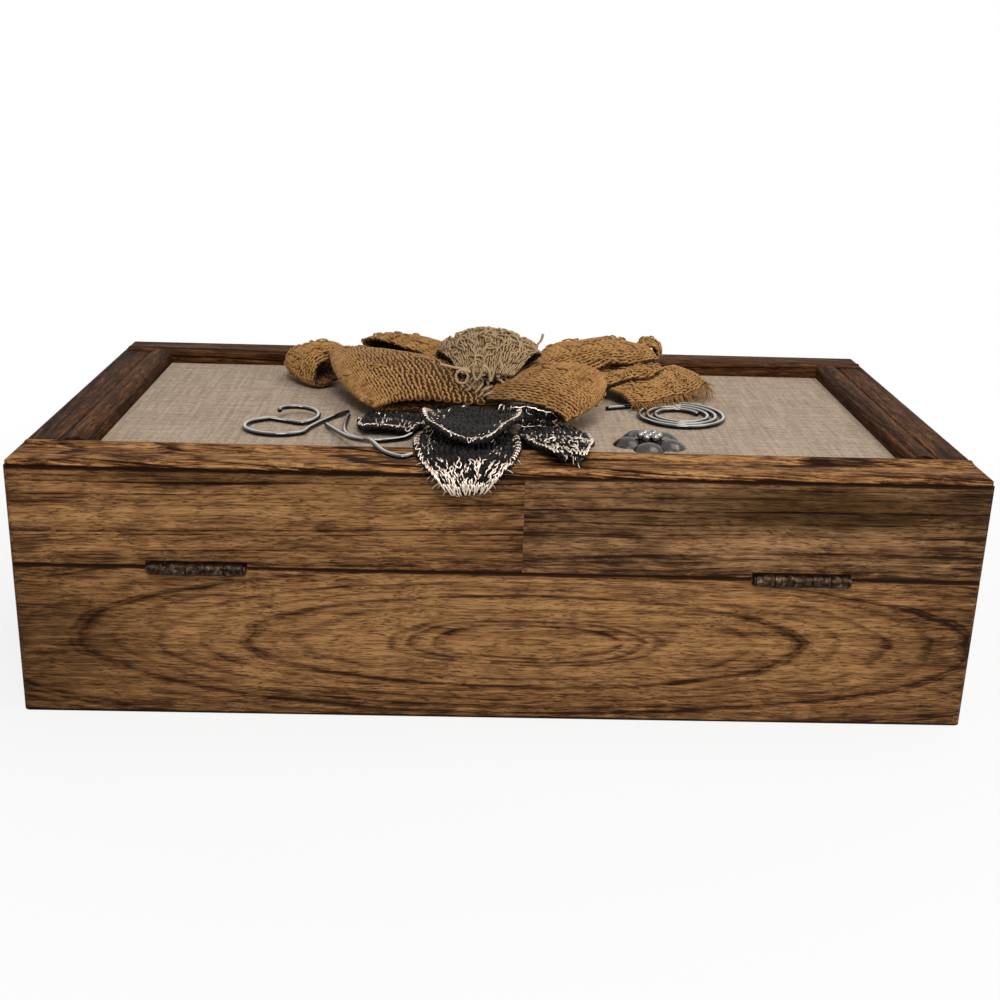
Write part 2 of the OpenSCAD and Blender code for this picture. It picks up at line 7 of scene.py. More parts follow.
# %% Load the frame
import bpy
import numpy as np
from mathutils import Matrix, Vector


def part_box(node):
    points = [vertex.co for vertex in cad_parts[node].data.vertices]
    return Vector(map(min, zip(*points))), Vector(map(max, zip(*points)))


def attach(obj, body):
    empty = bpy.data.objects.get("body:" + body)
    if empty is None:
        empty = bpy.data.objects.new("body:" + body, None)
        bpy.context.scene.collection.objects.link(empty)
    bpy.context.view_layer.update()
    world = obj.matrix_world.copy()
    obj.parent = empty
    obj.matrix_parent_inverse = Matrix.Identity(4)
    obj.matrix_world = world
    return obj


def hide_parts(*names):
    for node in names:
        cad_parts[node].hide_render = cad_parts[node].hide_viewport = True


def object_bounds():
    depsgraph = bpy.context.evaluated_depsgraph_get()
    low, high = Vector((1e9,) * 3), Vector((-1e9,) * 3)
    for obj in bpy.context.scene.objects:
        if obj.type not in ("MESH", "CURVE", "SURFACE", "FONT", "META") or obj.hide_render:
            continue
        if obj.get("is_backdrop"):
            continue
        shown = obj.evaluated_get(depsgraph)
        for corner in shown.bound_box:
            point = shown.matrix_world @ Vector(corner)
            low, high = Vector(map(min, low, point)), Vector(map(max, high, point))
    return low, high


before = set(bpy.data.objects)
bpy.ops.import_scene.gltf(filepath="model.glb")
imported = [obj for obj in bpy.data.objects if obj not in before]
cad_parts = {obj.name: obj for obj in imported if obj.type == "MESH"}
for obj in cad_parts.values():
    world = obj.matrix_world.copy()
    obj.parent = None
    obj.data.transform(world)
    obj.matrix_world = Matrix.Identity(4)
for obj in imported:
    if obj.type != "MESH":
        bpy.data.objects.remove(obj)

cad_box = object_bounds()
MM = 0.001


def span_mm(node):
    """Lowest and highest corner of a CAD node, in millimetres."""
    low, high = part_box(node)
    return np.array(low) / MM, np.array(high) / MM


linen_z = span_mm("linen_cover")[1][2]
crest_z = span_mm("frame_hinge_rail")[1][2]
rail_y = span_mm("frame_hinge_rail")[1][1]
print("linen at", round(linen_z, 2), "frame crest at", round(crest_z, 2), "mm")

# %% [markdown]
# ## Camera
# The picture was taken from behind the box, a little above it and slightly off level. The place, the
# three angles and the focal length come from fitting the six visible corners of the box, so the
# camera is set from them and never looks at the picture itself.

# %% Camera at the photograph's viewing angle
CAMERA_MM = (-10.2, -398.0, 174.8)
PITCH, YAW, ROLL = np.radians([18.9, 1.64, 1.76])
FOCAL_PX = 1354
IMAGE_PX = 1000
SENSOR_MM = 36

forward = np.array([np.sin(YAW) * np.cos(PITCH), np.cos(YAW) * np.cos(PITCH), -np.sin(PITCH)])
level = np.array([np.cos(YAW), -np.sin(YAW), 0])
above = np.cross(level, forward)
axis_x = np.cos(ROLL) * level + np.sin(ROLL) * above
axis_y = np.cos(ROLL) * above - np.sin(ROLL) * level
pose = np.eye(4)
pose[:3, :3] = np.stack([axis_x, axis_y, -forward], axis=1)
pose[:3, 3] = np.array(CAMERA_MM) * MM

lens = bpy.data.cameras.new("camera")
lens.sensor_width = SENSOR_MM
lens.lens = SENSOR_MM * FOCAL_PX / IMAGE_PX
camera = bpy.data.objects.new("camera", lens)
camera.matrix_world = Matrix(pose.tolist())
bpy.context.scene.collection.objects.link(camera)
bpy.context.scene.camera = camera
print("lens", round(lens.lens, 2), "mm")

# %% [markdown]
# ## Helpers for finishes
# Colours are written as sRGB hex values, as a painter would pick them, and one function turns them
# to the linear values that the shader wants. Another small function adds a node, sets it and links it.

# %% Colour and node helpers


def linear(code):
    """An sRGB hex colour as linear red, green, blue and alpha: the sRGB curve undone for each channel."""
    value = np.array([int(code[i:i + 2], 16) for i in (1, 3, 5)]) / 255
    flat = np.where(value <= 0.04045, value / 12.92, ((value + 0.055) / 1.055) ** 2.4)
    return (*flat, 1.0)


def add(tree, kind, inputs=(), out=0, stops=(), **settings):
    """Add one shader node and return one of its outputs.

    settings are its properties. inputs are values, or sockets to link, in the node's own order or by
    name. stops are the (place, hex colour) pairs of a colour ramp.
    """
    made = tree.nodes.new("ShaderNode" + kind)
    for key, value in settings.items():
        setattr(made, key, value)
    for key, value in inputs.items() if isinstance(inputs, dict) else enumerate(inputs):
        if isinstance(value, bpy.types.NodeSocket):
            tree.links.new(value, made.inputs[key])
        else:
            made.inputs[key].default_value = value
    for count, (place, code) in enumerate(stops):
        points = made.color_ramp.elements
        point = points[count] if count < len(points) else points.new(place)
        point.position = place
        point.color = linear(code)
    return made.outputs[out]


def new_material(name, **sockets):
    """A material with its Principled shader; sockets are constant values on the shader itself."""
    made = bpy.data.materials.new(name)
    made.use_nodes = True
    shader = made.node_tree.nodes["Principled BSDF"]
    for key, value in sockets.items():
        shader.inputs[key.replace("_", " ")].default_value = value
    return made, made.node_tree, shader


def finish_from(tree, shader, **sockets):
    """Link output sockets to the inputs of the Principled shader."""
    for key, socket in sockets.items():
        tree.links.new(socket, shader.inputs[key.replace("_", " ")])


# %% [markdown]
# ## Wood
# The boards are a golden brown tropical hardwood with dark growth lines, oiled and a little stained.
# They are darker towards their ends and lower edges, with painted shade in the seams.
# A board's figure is a cut through growth rings. So the finish is a solid one: the distance of a point
# from the middle of the figure, squeezed along the grain, gives nested ovals on the face and round
# rings on the end grain. Noise along the grain adds fibres and short dark pores.

# %% Wood finish
# Lengths of the marks along and across the grain
PORE_MM = (2.6, 0.30)
FIBRE_MM = (8.0, 0.45)
STREAK_MM = (70.0, 1.5)
PATCH_MM = (46.0, 10.0)
MOTTLE_MM = (7.0, 3.2)
SWAY_MM = (26.0, 9.0)
SWAY_BY_MM = 1.3
# Growth lines: how often they drift, where the first one starts, fine lines to each strong one
DRIFTS_PER_MM = 0.07
FIRST_RING = 0.12
FINE_LINES = 3.6
STRONG_LINE = [
    (0.0, "#303030"), (0.05, "#000000"), (0.62, "#1c1c1c"),
    (0.90, "#7a7a7a"), (0.965, "#ffffff"), (1.0, "#303030"),
]
FINE_LINE = [(0.0, "#606060"), (0.10, "#000000"), (0.60, "#202020"), (0.90, "#ffffff"), (1.0, "#606060")]
STRONG_DARK = 0.46
FINE_DARK = (0.04, 0.48)
# How much each mark lightens the wood, and the tones where the four colours of a board stand
FIBRE_LIGHT = 1.8
STREAK_LIGHT = 1.2
MOTTLE_LIGHT = 0.7
TONE_START = -1.17
MID_TONE = 0.45
TONE_PLACES = (0.0, 0.30, 0.60, 0.98)
# Darkening from the ends and the lower edge: reach and strength; width of the painted shade in a seam; colour
# of a stain
ENDS_DARKEN_MM = (30.0, 14.0)
ENDS_DARKEN = -0.30
SEAM_SHADE_MM = 0.75
STAIN = "#8f8b7c"
WOOD_RELIEF_MM = 0.18
half_box = span_mm("base_front_wall")[1][:2]


def grain_space(tree, grain, lengths, mid=(0, 0, 0), tilt=0.0):
    """Object coordinates from mid, turned by tilt, in lengths[0] along the grain and lengths[1] across it."""
    along, across = lengths
    size = np.array([along, across, across] if grain == "X" else [across, along, across])
    turn = (0, np.radians(tilt), 0) if grain == "X" else (np.radians(tilt), 0, 0)
    place = add(tree, "TexCoord", out="Object")
    inputs = [place, tuple(np.array(mid) * MM), turn, tuple(size * MM)]
    return add(tree, "Mapping", inputs, vector_type="TEXTURE")


def darker_to_ends_and_foot(tree, grain, span):
    """Darkening towards a board's two ends and its lower edge, from 0 to 1."""
    place = add(tree, "TexCoord", out="Object")
    along = add(tree, "SeparateXYZ", [place], grain)
    height = add(tree, "SeparateXYZ", [place], "Z")
    low, high = span[0] * MM, span[1] * MM
    axis = "XY".index(grain)
    reach, rise = ENDS_DARKEN_MM[0] * MM, ENDS_DARKEN_MM[1] * MM
    first = add(tree, "MapRange", [along, low[axis], low[axis] + reach, 1.0, 0.0])
    last = add(tree, "MapRange", [along, high[axis] - reach, high[axis]])
    under = add(tree, "MapRange", [height, low[2], low[2] + rise, 1.0, 0.0])
    ends = add(tree, "Math", [first, last], operation="ADD")
    return add(tree, "Math", [ends, under], operation="MAXIMUM")


def painted_seam_shade(tree, heights):
    """Painted shade in the seams where boards meet and along the foot on the floor: 1 at those heights
    on the outer faces, fading off a line's width.
    """
    place = add(tree, "TexCoord", out="Object")
    outer = 0.0
    for axis, half in zip("XY", half_box):
        far = add(tree, "Math", [add(tree, "SeparateXYZ", [place], axis)], operation="ABSOLUTE")
        face = add(tree, "MapRange", [far, (half - 2 * SEAM_SHADE_MM) * MM, (half - SEAM_SHADE_MM) * MM])
        outer = add(tree, "Math", [outer, face], operation="MAXIMUM")
    total = 0.0
    for height in heights:
        off = add(tree, "Math", [add(tree, "SeparateXYZ", [place], "Z"), height * MM], operation="SUBTRACT")
        far = add(tree, "Math", [off], operation="ABSOLUTE")
        line = add(tree, "MapRange", [far, 0.25 * SEAM_SHADE_MM * MM, SEAM_SHADE_MM * MM, 1.0, 0.0])
        total = add(tree, "Math", [total, line], operation="MAXIMUM")
    return add(tree, "Math", [total, outer], operation="MULTIPLY")


def hardwood(name, span, joints, grain, mid, stretch, ring, seed, tones, smoke,
             wander=3.0, tilt=0.0, stain=None, vivid=1.2):
    """Oiled hardwood: growth lines at even ring distances, fibres, streaks, pores, smoky patches, darkening
    towards the ends and lower edge, and painted shade in the seams.

    span is the board's box, joints the heights where it meets its neighbours and mid the middle of its
    figure, in mm. stretch is the figure's length over its height, ring the spacing of the strong growth
    lines, tones four colours from dark to light, smoke the strength of the patches, wander how far the
    lines drift, tilt the slope of the grain in degrees. vivid strengthens light against dark. stain is
    one large dark patch: its middle, its half length and half height in mm and its strength.
    """
    made, tree, shader = new_material(name, Specular_IOR_Level=0.03)

    def from_middle(place, scale, detail, rough, shift):
        """Noise as a vector that points any way, up to half a unit each way."""
        cloud = add(tree, "TexNoise", [place, shift, scale, detail, rough], "Color", noise_dimensions="4D")
        return add(tree, "VectorMath", [cloud, (0.5, 0.5, 0.5)], operation="SUBTRACT")

    cut = grain_space(tree, grain, (stretch, 1.0), mid, tilt)
    drift = from_middle(cut, DRIFTS_PER_MM, 3.0, 0.6, seed)
    bent = add(tree, "VectorMath", [drift, (2 * wander,) * 3, cut], operation="MULTIPLY_ADD")
    far = add(tree, "VectorMath", [bent], "Value", operation="LENGTH")
    turn = add(tree, "Math", [far, ring], operation="DIVIDE")
    turn = add(tree, "Math", [turn, FIRST_RING], operation="ADD")
    strong = add(tree, "ValToRGB", [add(tree, "Math", [turn], operation="FRACT")], stops=STRONG_LINE)
    fine_turn = add(tree, "Math", [turn, FINE_LINES], operation="MULTIPLY")
    fine = add(tree, "ValToRGB", [add(tree, "Math", [fine_turn], operation="FRACT")], stops=FINE_LINE)
    number = add(tree, "Math", [fine_turn], operation="FLOOR")
    pick = add(tree, "TexWhiteNoise", {"W": number}, noise_dimensions="1D")
    sway = from_middle(grain_space(tree, grain, SWAY_MM), 1.0, 2.0, 0.5, seed + 7)

    def grain_noise(lengths, detail, rough, shift):
        """Noise drawn out along the grain, which sways from side to side by a millimetre or so."""
        by = (2 * SWAY_BY_MM / lengths[1],) * 3
        straight = grain_space(tree, grain, lengths, tilt=tilt)
        place = add(tree, "VectorMath", [sway, by, straight], operation="MULTIPLY_ADD")
        return add(tree, "TexNoise", [place, seed + shift, 1.0, detail, rough], noise_dimensions="4D")

    patch = grain_noise(PATCH_MM, 4.0, 0.65, 4)
    mottle = grain_noise(MOTTLE_MM, 3.0, 0.6, 6)
    fibre = grain_noise(FIBRE_MM, 4.0, 0.75, 1)
    streak = grain_noise(STREAK_MM, 5.0, 0.65, 5)
    pore = grain_noise(PORE_MM, 1.0, 0.5, 2)

    faded = add(tree, "MapRange", [patch, 0.32, 0.62, 1.2, 0.5])
    dark = add(tree, "Math", [faded, STRONG_DARK], operation="MULTIPLY")
    line = add(tree, "Math", [strong, dark], operation="MULTIPLY")
    chosen = add(tree, "MapRange", [pick, 0.2, 0.95, *FINE_DARK])
    weak = add(tree, "Math", [chosen, faded], operation="MULTIPLY")
    line = add(tree, "Math", [fine, weak, line], operation="MULTIPLY_ADD")
    tone = TONE_START - 0.5 * smoke
    marks = [(fibre, FIBRE_LIGHT), (streak, STREAK_LIGHT), (mottle, MOTTLE_LIGHT), (patch, smoke)]
    for mark, light in marks:
        tone = add(tree, "Math", [mark, light, tone], operation="MULTIPLY_ADD")
    tone = add(tree, "Math", [tone, line], operation="SUBTRACT")
    tone = add(tree, "Math", [tone, vivid, MID_TONE * (1 - vivid)], operation="MULTIPLY_ADD")
    # Darker towards the ends and the lower edge
    tone = add(tree, "Math", [darker_to_ends_and_foot(tree, grain, span), ENDS_DARKEN, tone], operation="MULTIPLY_ADD")
    # Painted shade in the seams and along the foot, patchy with the wood
    filled = add(tree, "MapRange", [patch, 0.35, 0.6, 0.6, 1.0])
    seam_shade = add(tree, "Math", [painted_seam_shade(tree, joints), filled], operation="MULTIPLY")
    tone = add(tree, "Math", [tone, seam_shade], operation="SUBTRACT")
    wood = add(tree, "ValToRGB", [tone], stops=list(zip(TONE_PLACES, tones)))
    if stain:
        place, half, strength = stain
        away = add(tree, "VectorMath", [grain_space(tree, grain, half, place)], "Value", operation="LENGTH")
        ragged = add(tree, "Math", [patch, 0.5], operation="SUBTRACT")
        away = add(tree, "Math", [ragged, 1.6, away], operation="MULTIPLY_ADD")
        smut = add(tree, "MapRange", [away, 0.35, 1.15, strength, 0.0])
        colours = {0: smut, 6: wood, 7: linear(STAIN)}
        wood = add(tree, "Mix", colours, 2, data_type="RGBA", blend_type="MULTIPLY")
    dash = add(tree, "MapRange", [pore, 0.56, 0.66, 0.0, 0.7])
    colour = add(tree, "Mix", {0: dash, 6: wood, 7: linear(tones[0])}, 2, data_type="RGBA")
    dull = add(tree, "MapRange", [fibre, 0.2, 0.8, 0.70, 0.48])
    relief = add(tree, "Math", [fibre, dash], operation="SUBTRACT")
    relief = add(tree, "Math", [relief, line], operation="SUBTRACT")
    bump = add(tree, "Bump", {"Height": relief, "Strength": 0.6, "Distance": WOOD_RELIEF_MM * MM})
    finish_from(tree, shader, Base_Color=colour, Roughness=dull, Normal=bump)
    return made


def finish_with(material, *names):
    """Give CAD nodes one material in all their slots."""
    for name in names:
        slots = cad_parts[name].data.materials
        slots.clear()
        slots.append(material)


# %% [markdown]
# Every board gets its own cut of that wood. Three things make them differ: where the middle of the
# figure lies, how far it is drawn out, and the four colours. The boards that face the camera were
# matched to their ovals and streaks, and the others follow them with other seeds.

# %% Wood on every board
GOLDEN = ("#29180e", "#583b23", "#805a38", "#a57a4d")
BROWN = ("#2a1a10", "#543a25", "#7d5a3c", "#a37c55")
DARK = ("#1a0c05", "#371f0f", "#54341b", "#7d5732")
PANEL = ("#241509", "#452d19", "#634427", "#835f3a")
BAND = ("#200f07", "#4b2c18", "#79522f", "#ae8052")
# Each board's grain, middle of figure, stretch, ring, seed, tones, smoke, wander, tilt, stain and vividness
BOARDS = {
    "base_hinge_wall": (
        "X", (7, -69.85, 22.5), 5.6, 7.4, 3.0, GOLDEN, 0.30, 2.0, 0.0, ((-122, -70, 16), (44, 40), 0.5)),
    "lid_hinge_wall_left": (
        "X", (-60, -69.85, 96), 16.0, 6.2, 11.0, GOLDEN, 0.85, 4.0, -1.0, ((-60, -70, 68), (80, 5), 0.7)),
    "lid_hinge_wall_right": (
        "X", (110, -69.85, 30), 10.0, 6.4, 17.0, BROWN, 0.8, 4.0, 0.5, ((88, -70, 61), (72, 9), 1.0)),
    "base_front_wall": ("X", (-20, 69.85, 18), 5.6, 7.0, 23.0, GOLDEN, 0.4, 2.5),
    "lid_front_wall": ("X", (40, 69.85, 84), 14.0, 6.0, 29.0, GOLDEN, 0.7, 4.0),
    "base_left_wall": ("Y", (-127, 10, 22), 5.0, 6.4, 31.0, BROWN, 0.5, 2.5),
    "base_right_wall": ("Y", (127, -8, 16), 5.0, 6.4, 37.0, BROWN, 0.5, 2.5),
    "lid_left_wall": ("Y", (-127, -30, 84), 10.0, 6.0, 41.0, BROWN, 0.6, 4.0),
    "lid_right_wall": ("Y", (127, 20, 34), 10.0, 6.0, 43.0, BROWN, 0.6, 4.0),
    "frame_hinge_rail": ("X", (60, -64, 92), 14.0, 5.4, 47.0, BAND, 0.9, 4.0, 2.5, None, 1.9),
    "frame_front_rail": ("X", (-30, 64, 92), 14.0, 5.4, 53.0, DARK, 0.6, 4.0),
    "frame_left_rail": ("Y", (-118, 0, 90), 12.0, 5.4, 59.0, DARK, 0.6, 4.0),
    "frame_right_rail": ("Y", (118, 0, 90), 12.0, 5.4, 61.0, DARK, 0.6, 4.0),
    "base_bottom_panel": ("X", (0, 0, -30), 12.0, 7.0, 67.0, PANEL, 0.5, 4.0),
    "lid_panel": ("X", (0, 30, 20), 12.0, 7.0, 71.0, PANEL, 0.5, 4.0),
}
wall_top = span_mm("lid_front_wall")[1][2]
for board, look in BOARDS.items():
    low, high = span_mm(board)
    joints = (wall_top,) if board.startswith("frame_") else (low[2], high[2])
    finish_with(hardwood("oiled_hardwood_" + board, (low, high), joints, *look), board)
print("wooden pieces:", len(BOARDS))

# %% [markdown]
# ## Hinges
# Two small butt hinges of brass with a nearly black antique finish. The knuckles are rubbed, so
# their high points show a brown metal through the dark skin.

# %% Antique hinge metal
WEAR_MM = 1.1
WEAR_RELIEF_MM = 0.1
SKIN = [(0.38, "#120d0a"), (0.56, "#403226"), (0.72, "#826f5a")]


def antique_brass(name):
    """Blackened brass: a dark skin over brown metal, worn through in patches about 1 mm across."""
    made, tree, shader = new_material(name, Metallic=1.0)
    place = add(tree, "TexCoord", out="Object")
    wear = add(tree, "TexNoise", [place, 5.0, 1 / (WEAR_MM * MM), 4.0, 0.65], noise_dimensions="4D")
    skin = add(tree, "ValToRGB", [wear], stops=SKIN)
    dull = add(tree, "MapRange", [wear, 0.0, 1.0, 0.62, 0.30])
    bump = add(tree, "Bump", {"Height": wear, "Strength": 0.4, "Distance": WEAR_RELIEF_MM * MM})
    finish_from(tree, shader, Base_Color=skin, Roughness=dull, Normal=bump)
    return made


HINGE_NODES = [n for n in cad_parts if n.startswith("hinge_")]
finish_with(antique_brass("antique_brass"), *HINGE_NODES)
print("hinge pieces:", len(HINGE_NODES))

# %% [markdown]
# ## Making surfaces
# A new piece is a grid of points from a formula. One function turns grids into a mesh, and one
# sweeps a round section along paths, as wire and yarn need.

# %% Mesh helpers


def grid_faces(rows, cols, wrap=False):
    """Quads of a rows by cols grid of points; wrap joins the last column to the first."""
    i = np.arange(rows - 1)[:, None]
    j = np.arange(cols if wrap else cols - 1)[None, :]
    k = (j + 1) % cols
    corners = [i * cols + j, i * cols + k, (i + 1) * cols + k, (i + 1) * cols + j]
    return np.stack(np.broadcast_arrays(*corners), axis=-1).reshape(-1, 4)


def piece(name, points_mm, faces, material, body="lid", slot=None, tone_and_shade=None):
    """A smooth mesh piece from points in mm and quads, with one tone for all points or one for each; the tone
    may hold painted shade.
    """
    mesh = bpy.data.meshes.new(name)
    mesh.vertices.add(len(points_mm))
    mesh.vertices.foreach_set("co", (np.asarray(points_mm) * MM).astype(np.float32).ravel())
    mesh.loops.add(faces.size)
    mesh.loops.foreach_set("vertex_index", faces.astype(np.int32).ravel())
    mesh.polygons.add(len(faces))
    mesh.polygons.foreach_set("loop_start", np.arange(0, faces.size, 4, dtype=np.int32))
    mesh.polygons.foreach_set("use_smooth", np.ones(len(faces), bool))
    if tone_and_shade is not None:
        tones_and_shade = np.broadcast_to(tone_and_shade, len(points_mm)).astype(np.float32)
        mesh.attributes.new("tone_and_shade", "FLOAT", "POINT").data.foreach_set("value", tones_and_shade)
    mesh.update(calc_edges=True)
    mesh.materials.append(material)
    made = bpy.data.objects.new(name, mesh)
    bpy.context.scene.collection.objects.link(made)
    if body:
        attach(made, body)
    return made


def unit(vectors):
    """Vectors along the last axis, each divided by its length."""
    return vectors / np.maximum(np.linalg.norm(vectors, axis=-1, keepdims=True), 1e-9)


def tubes(paths, normals, radius, sides):
    """Points and quads of round tubes.

    paths is (tubes, steps, 3). Each ring lies square to its path: the sine and cosine of the angle
    times the radius, along the normal's square part and across it. Flat caps close the ends.
    """
    count, steps = paths.shape[:2]
    way = unit(np.gradient(paths, axis=1))
    across = unit(np.cross(way, normals))
    out = np.cross(across, way)
    angle = np.arange(sides) * 2 * np.pi / sides
    width = np.broadcast_to(radius, paths.shape[:2])[..., None, None]
    ring = np.cos(angle)[:, None] * across[:, :, None] + np.sin(angle)[:, None] * out[:, :, None]
    points = (paths[:, :, None] + width * ring).reshape(-1, 3)
    wall = grid_faces(steps, sides, wrap=True)
    fan = np.array([[0, 2 * k + 1, 2 * k + 2, 2 * k + 3] for k in range(sides // 2 - 1)])
    one = np.concatenate([wall, fan[:, ::-1], fan + (steps - 1) * sides])
    faces = one[None] + (np.arange(count) * steps * sides)[:, None, None]
    return points, faces.reshape(-1, 4)


def through(points, steps):
    """Smooth curve through points: each stretch is a cubic whose end slopes follow the neighbours."""
    p = np.asarray(points, float)
    a, b, c, d = (np.concatenate([p[:1], p, p[-1:]])[i:len(p) - 1 + i, None] for i in range(4))
    t = (np.arange(steps) / steps)[None, :, None]
    square = a - 2.5 * b + 2 * c - 0.5 * d
    cube = 1.5 * b - 0.5 * a - 1.5 * c + 0.5 * d
    curve = b + 0.5 * t * (c - a) + t ** 2 * square + t ** 3 * cube
    return np.concatenate([curve.reshape(-1, 3), p[-1:]])


def joined(parts):
    """Several pairs of points and quads as one pair, with the point numbers of each moved on."""
    points, faces = zip(*parts)
    start = np.cumsum([0] + [len(p) for p in points[:-1]])
    return np.concatenate(points), np.concatenate([f + n for f, n in zip(faces, start)])


# %% [markdown]
# ## Linen
# The panel in the lid is covered with natural linen: plain weave with thick and thin threads. The
# threads are thinner than a pixel, so the weave is drawn at 0.7 mm to show, as colour and a light bump.

# %% Linen over the panel
THREAD_MM = 0.7
SLUB_MM = (22.0, 1.1)
FLECK_MM = 1.6
LINEN_RELIEF_MM = 0.18
LINEN_TONES = [(0.42, "#82705f"), (0.66, "#a48f7b"), (0.92, "#c4b19b")]
LINEN_MM = 0.5
LINEN_GRID = (120, 70)
SWELL_MM = 0.04
SINK_MM = 0.05


def linen_finish(name):
    """Plain weave: the product of two sine waves, warp and weft. Slubs are noise drawn out along each."""
    made, tree, shader = new_material(name, Roughness=0.95, Sheen_Weight=0.05, Specular_IOR_Level=0.1)
    place = add(tree, "TexCoord", out="Object")
    waves = []
    slubs = []
    for axis, shift in (("X", 3.0), ("Y", 9.0)):
        turn = [add(tree, "SeparateXYZ", [place], axis), np.pi / (THREAD_MM * MM)]
        waves.append(add(tree, "Math", [add(tree, "Math", turn, operation="MULTIPLY")], operation="SINE"))
        drawn = grain_space(tree, axis, SLUB_MM)
        slubs.append(add(tree, "TexNoise", [drawn, shift, 1.0, 2.0, 0.6], noise_dimensions="4D"))
    over = add(tree, "Math", waves, operation="MULTIPLY")
    slub = add(tree, "Math", slubs, operation="ADD")
    fleck = add(tree, "TexNoise", [place, 2.0, 1 / (FLECK_MM * MM), 3.0, 0.7], noise_dimensions="4D")
    tone = -0.18
    for mark, light in ((slub, 0.55), (over, 0.20), (fleck, 0.66)):
        tone = add(tree, "Math", [mark, light, tone], operation="MULTIPLY_ADD")
    colour = add(tree, "ValToRGB", [tone], stops=LINEN_TONES)
    height = add(tree, "Math", [over, 0.5, slub], operation="MULTIPLY_ADD")
    bump = add(tree, "Bump", {"Height": height, "Strength": 0.5, "Distance": LINEN_RELIEF_MM * MM})
    finish_from(tree, shader, Base_Color=colour, Normal=bump)
    return made


low, high = span_mm("linen_cover")
u, v = np.meshgrid(*(np.linspace(0, 1, count) for count in LINEN_GRID), indexing="ij")
swell = SWELL_MM * np.sin(9 * np.pi * u) * np.sin(7 * np.pi * v) * np.sin(np.pi * u) * np.sin(np.pi * v)
across = low[0] + u * (high[0] - low[0])
along = low[1] + v * (high[1] - low[1])
top = np.stack([across, along, high[2] + swell - SINK_MM], axis=-1).reshape(-1, 3)
quads = grid_faces(*LINEN_GRID)[:, ::-1]
linen = piece("linen_cloth", top, quads, linen_finish("natural_linen"), "lid", "natural_linen")
wall = linen.modifiers.new("thickness", "SOLIDIFY")
wall.thickness = LINEN_MM * MM
wall.offset = -1
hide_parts("linen_cover")
print("linen", np.round((high - low)[:2], 1), "mm")

# %% [markdown]
# ## Flower
# The petals are pieces of loosely knitted ribbon. Each is a sheet along a curved spine: its section is
# an arc that bends by so many degrees and leans about the spine. On that sheet every row of stitches is
# one yarn that swings in loops: along the row it runs on and swings back twice per stitch, up and
# down it swings once, and it passes in front and behind twice.

# %% Petal surface


def bezier(points, u):
    """Point of a cubic curve at u: the four points weighted by the cubic blend."""
    a, b, c, d = np.asarray(points, float)
    u = u[..., None]
    return (1 - u) ** 3 * a + 3 * u * (1 - u) ** 2 * b + 3 * u * u * (1 - u) * c + u ** 3 * d


def bezier_way(points, u):
    """Direction of the cubic curve at u: the steps between its points weighted by the square blend."""
    a, b, c, d = np.asarray(points, float)
    u = u[..., None]
    return unit((1 - u) ** 2 * (b - a) + 2 * u * (1 - u) * (c - b) + u * u * (d - c))


BELLY = 0.45
WAVE_MM = 0.4
WAVES = 2
WAVE_TURN = np.radians(126)


def petal_half(petal, u):
    """Half width: the two end widths mixed, swelling by a sine to the full half width at the belly."""
    first, last = petal["ends"]
    power = np.log(0.5) / np.log(BELLY)
    mixed = first + (last - first) * u
    middle = first + (last - first) * BELLY
    return mixed + (petal["half"] - middle) * np.maximum(np.sin(np.pi * u ** power), 0) ** 0.8


def petal_point(petal, u, v, off=0.0):
    """Point of a petal: u along the spine, v from -1 to 1 across it, off above the middle of the cloth.

    The section lies along a fixed direction, tilted by lean. It is an arc whose bend is given at the
    start, the middle and the end of the spine, and low waves run along it.
    """
    u = np.clip(u, 0, 1)
    turn, lean = np.radians([petal["across"], petal["lean"]])
    side = np.array([np.cos(turn) * np.cos(lean), np.sin(turn) * np.cos(lean), np.sin(lean)])
    up = unit(np.cross(side, bezier_way(petal["spine"], u)))
    first, middle, last = np.radians(petal["fold"])
    bend = first + (last - first) * u + (middle - (first + last) / 2) * np.sin(np.pi * u)
    radius = petal_half(petal, u) / (bend / 2)
    angle = v * bend / 2
    s = ((radius + off) * np.sin(angle))[..., None]
    wave = WAVE_MM * np.sin(2 * np.pi * WAVES * u + WAVE_TURN * v)
    h = ((radius + off) * np.cos(angle) - radius + wave)[..., None]
    return bezier(petal["spine"], u) + s * side + h * up


ON_LINEN = (0, 0, linen_z)
ON_RAIL = (0, rail_y, crest_z)


def ribbon(spine, base=ON_LINEN, yarn="gold", wales="along", **form):
    """A petal as named values: its spine is measured from base, and its stitches run along it or across.

    form holds half, its half width; ends, the half widths at its ends; across and lean, the direction
    and tilt of its section; fold, the bend of the section at the start, the middle and the end, all in
    degrees. A dark ribbon may have a rim: inside that nearness to its edge the metal thread is left out,
    so the bare black there is painted shade. It may also have a flap, a second ribbon.
    """
    return dict(form, spine=np.asarray(spine, float) + base, yarn=yarn, wales=wales)


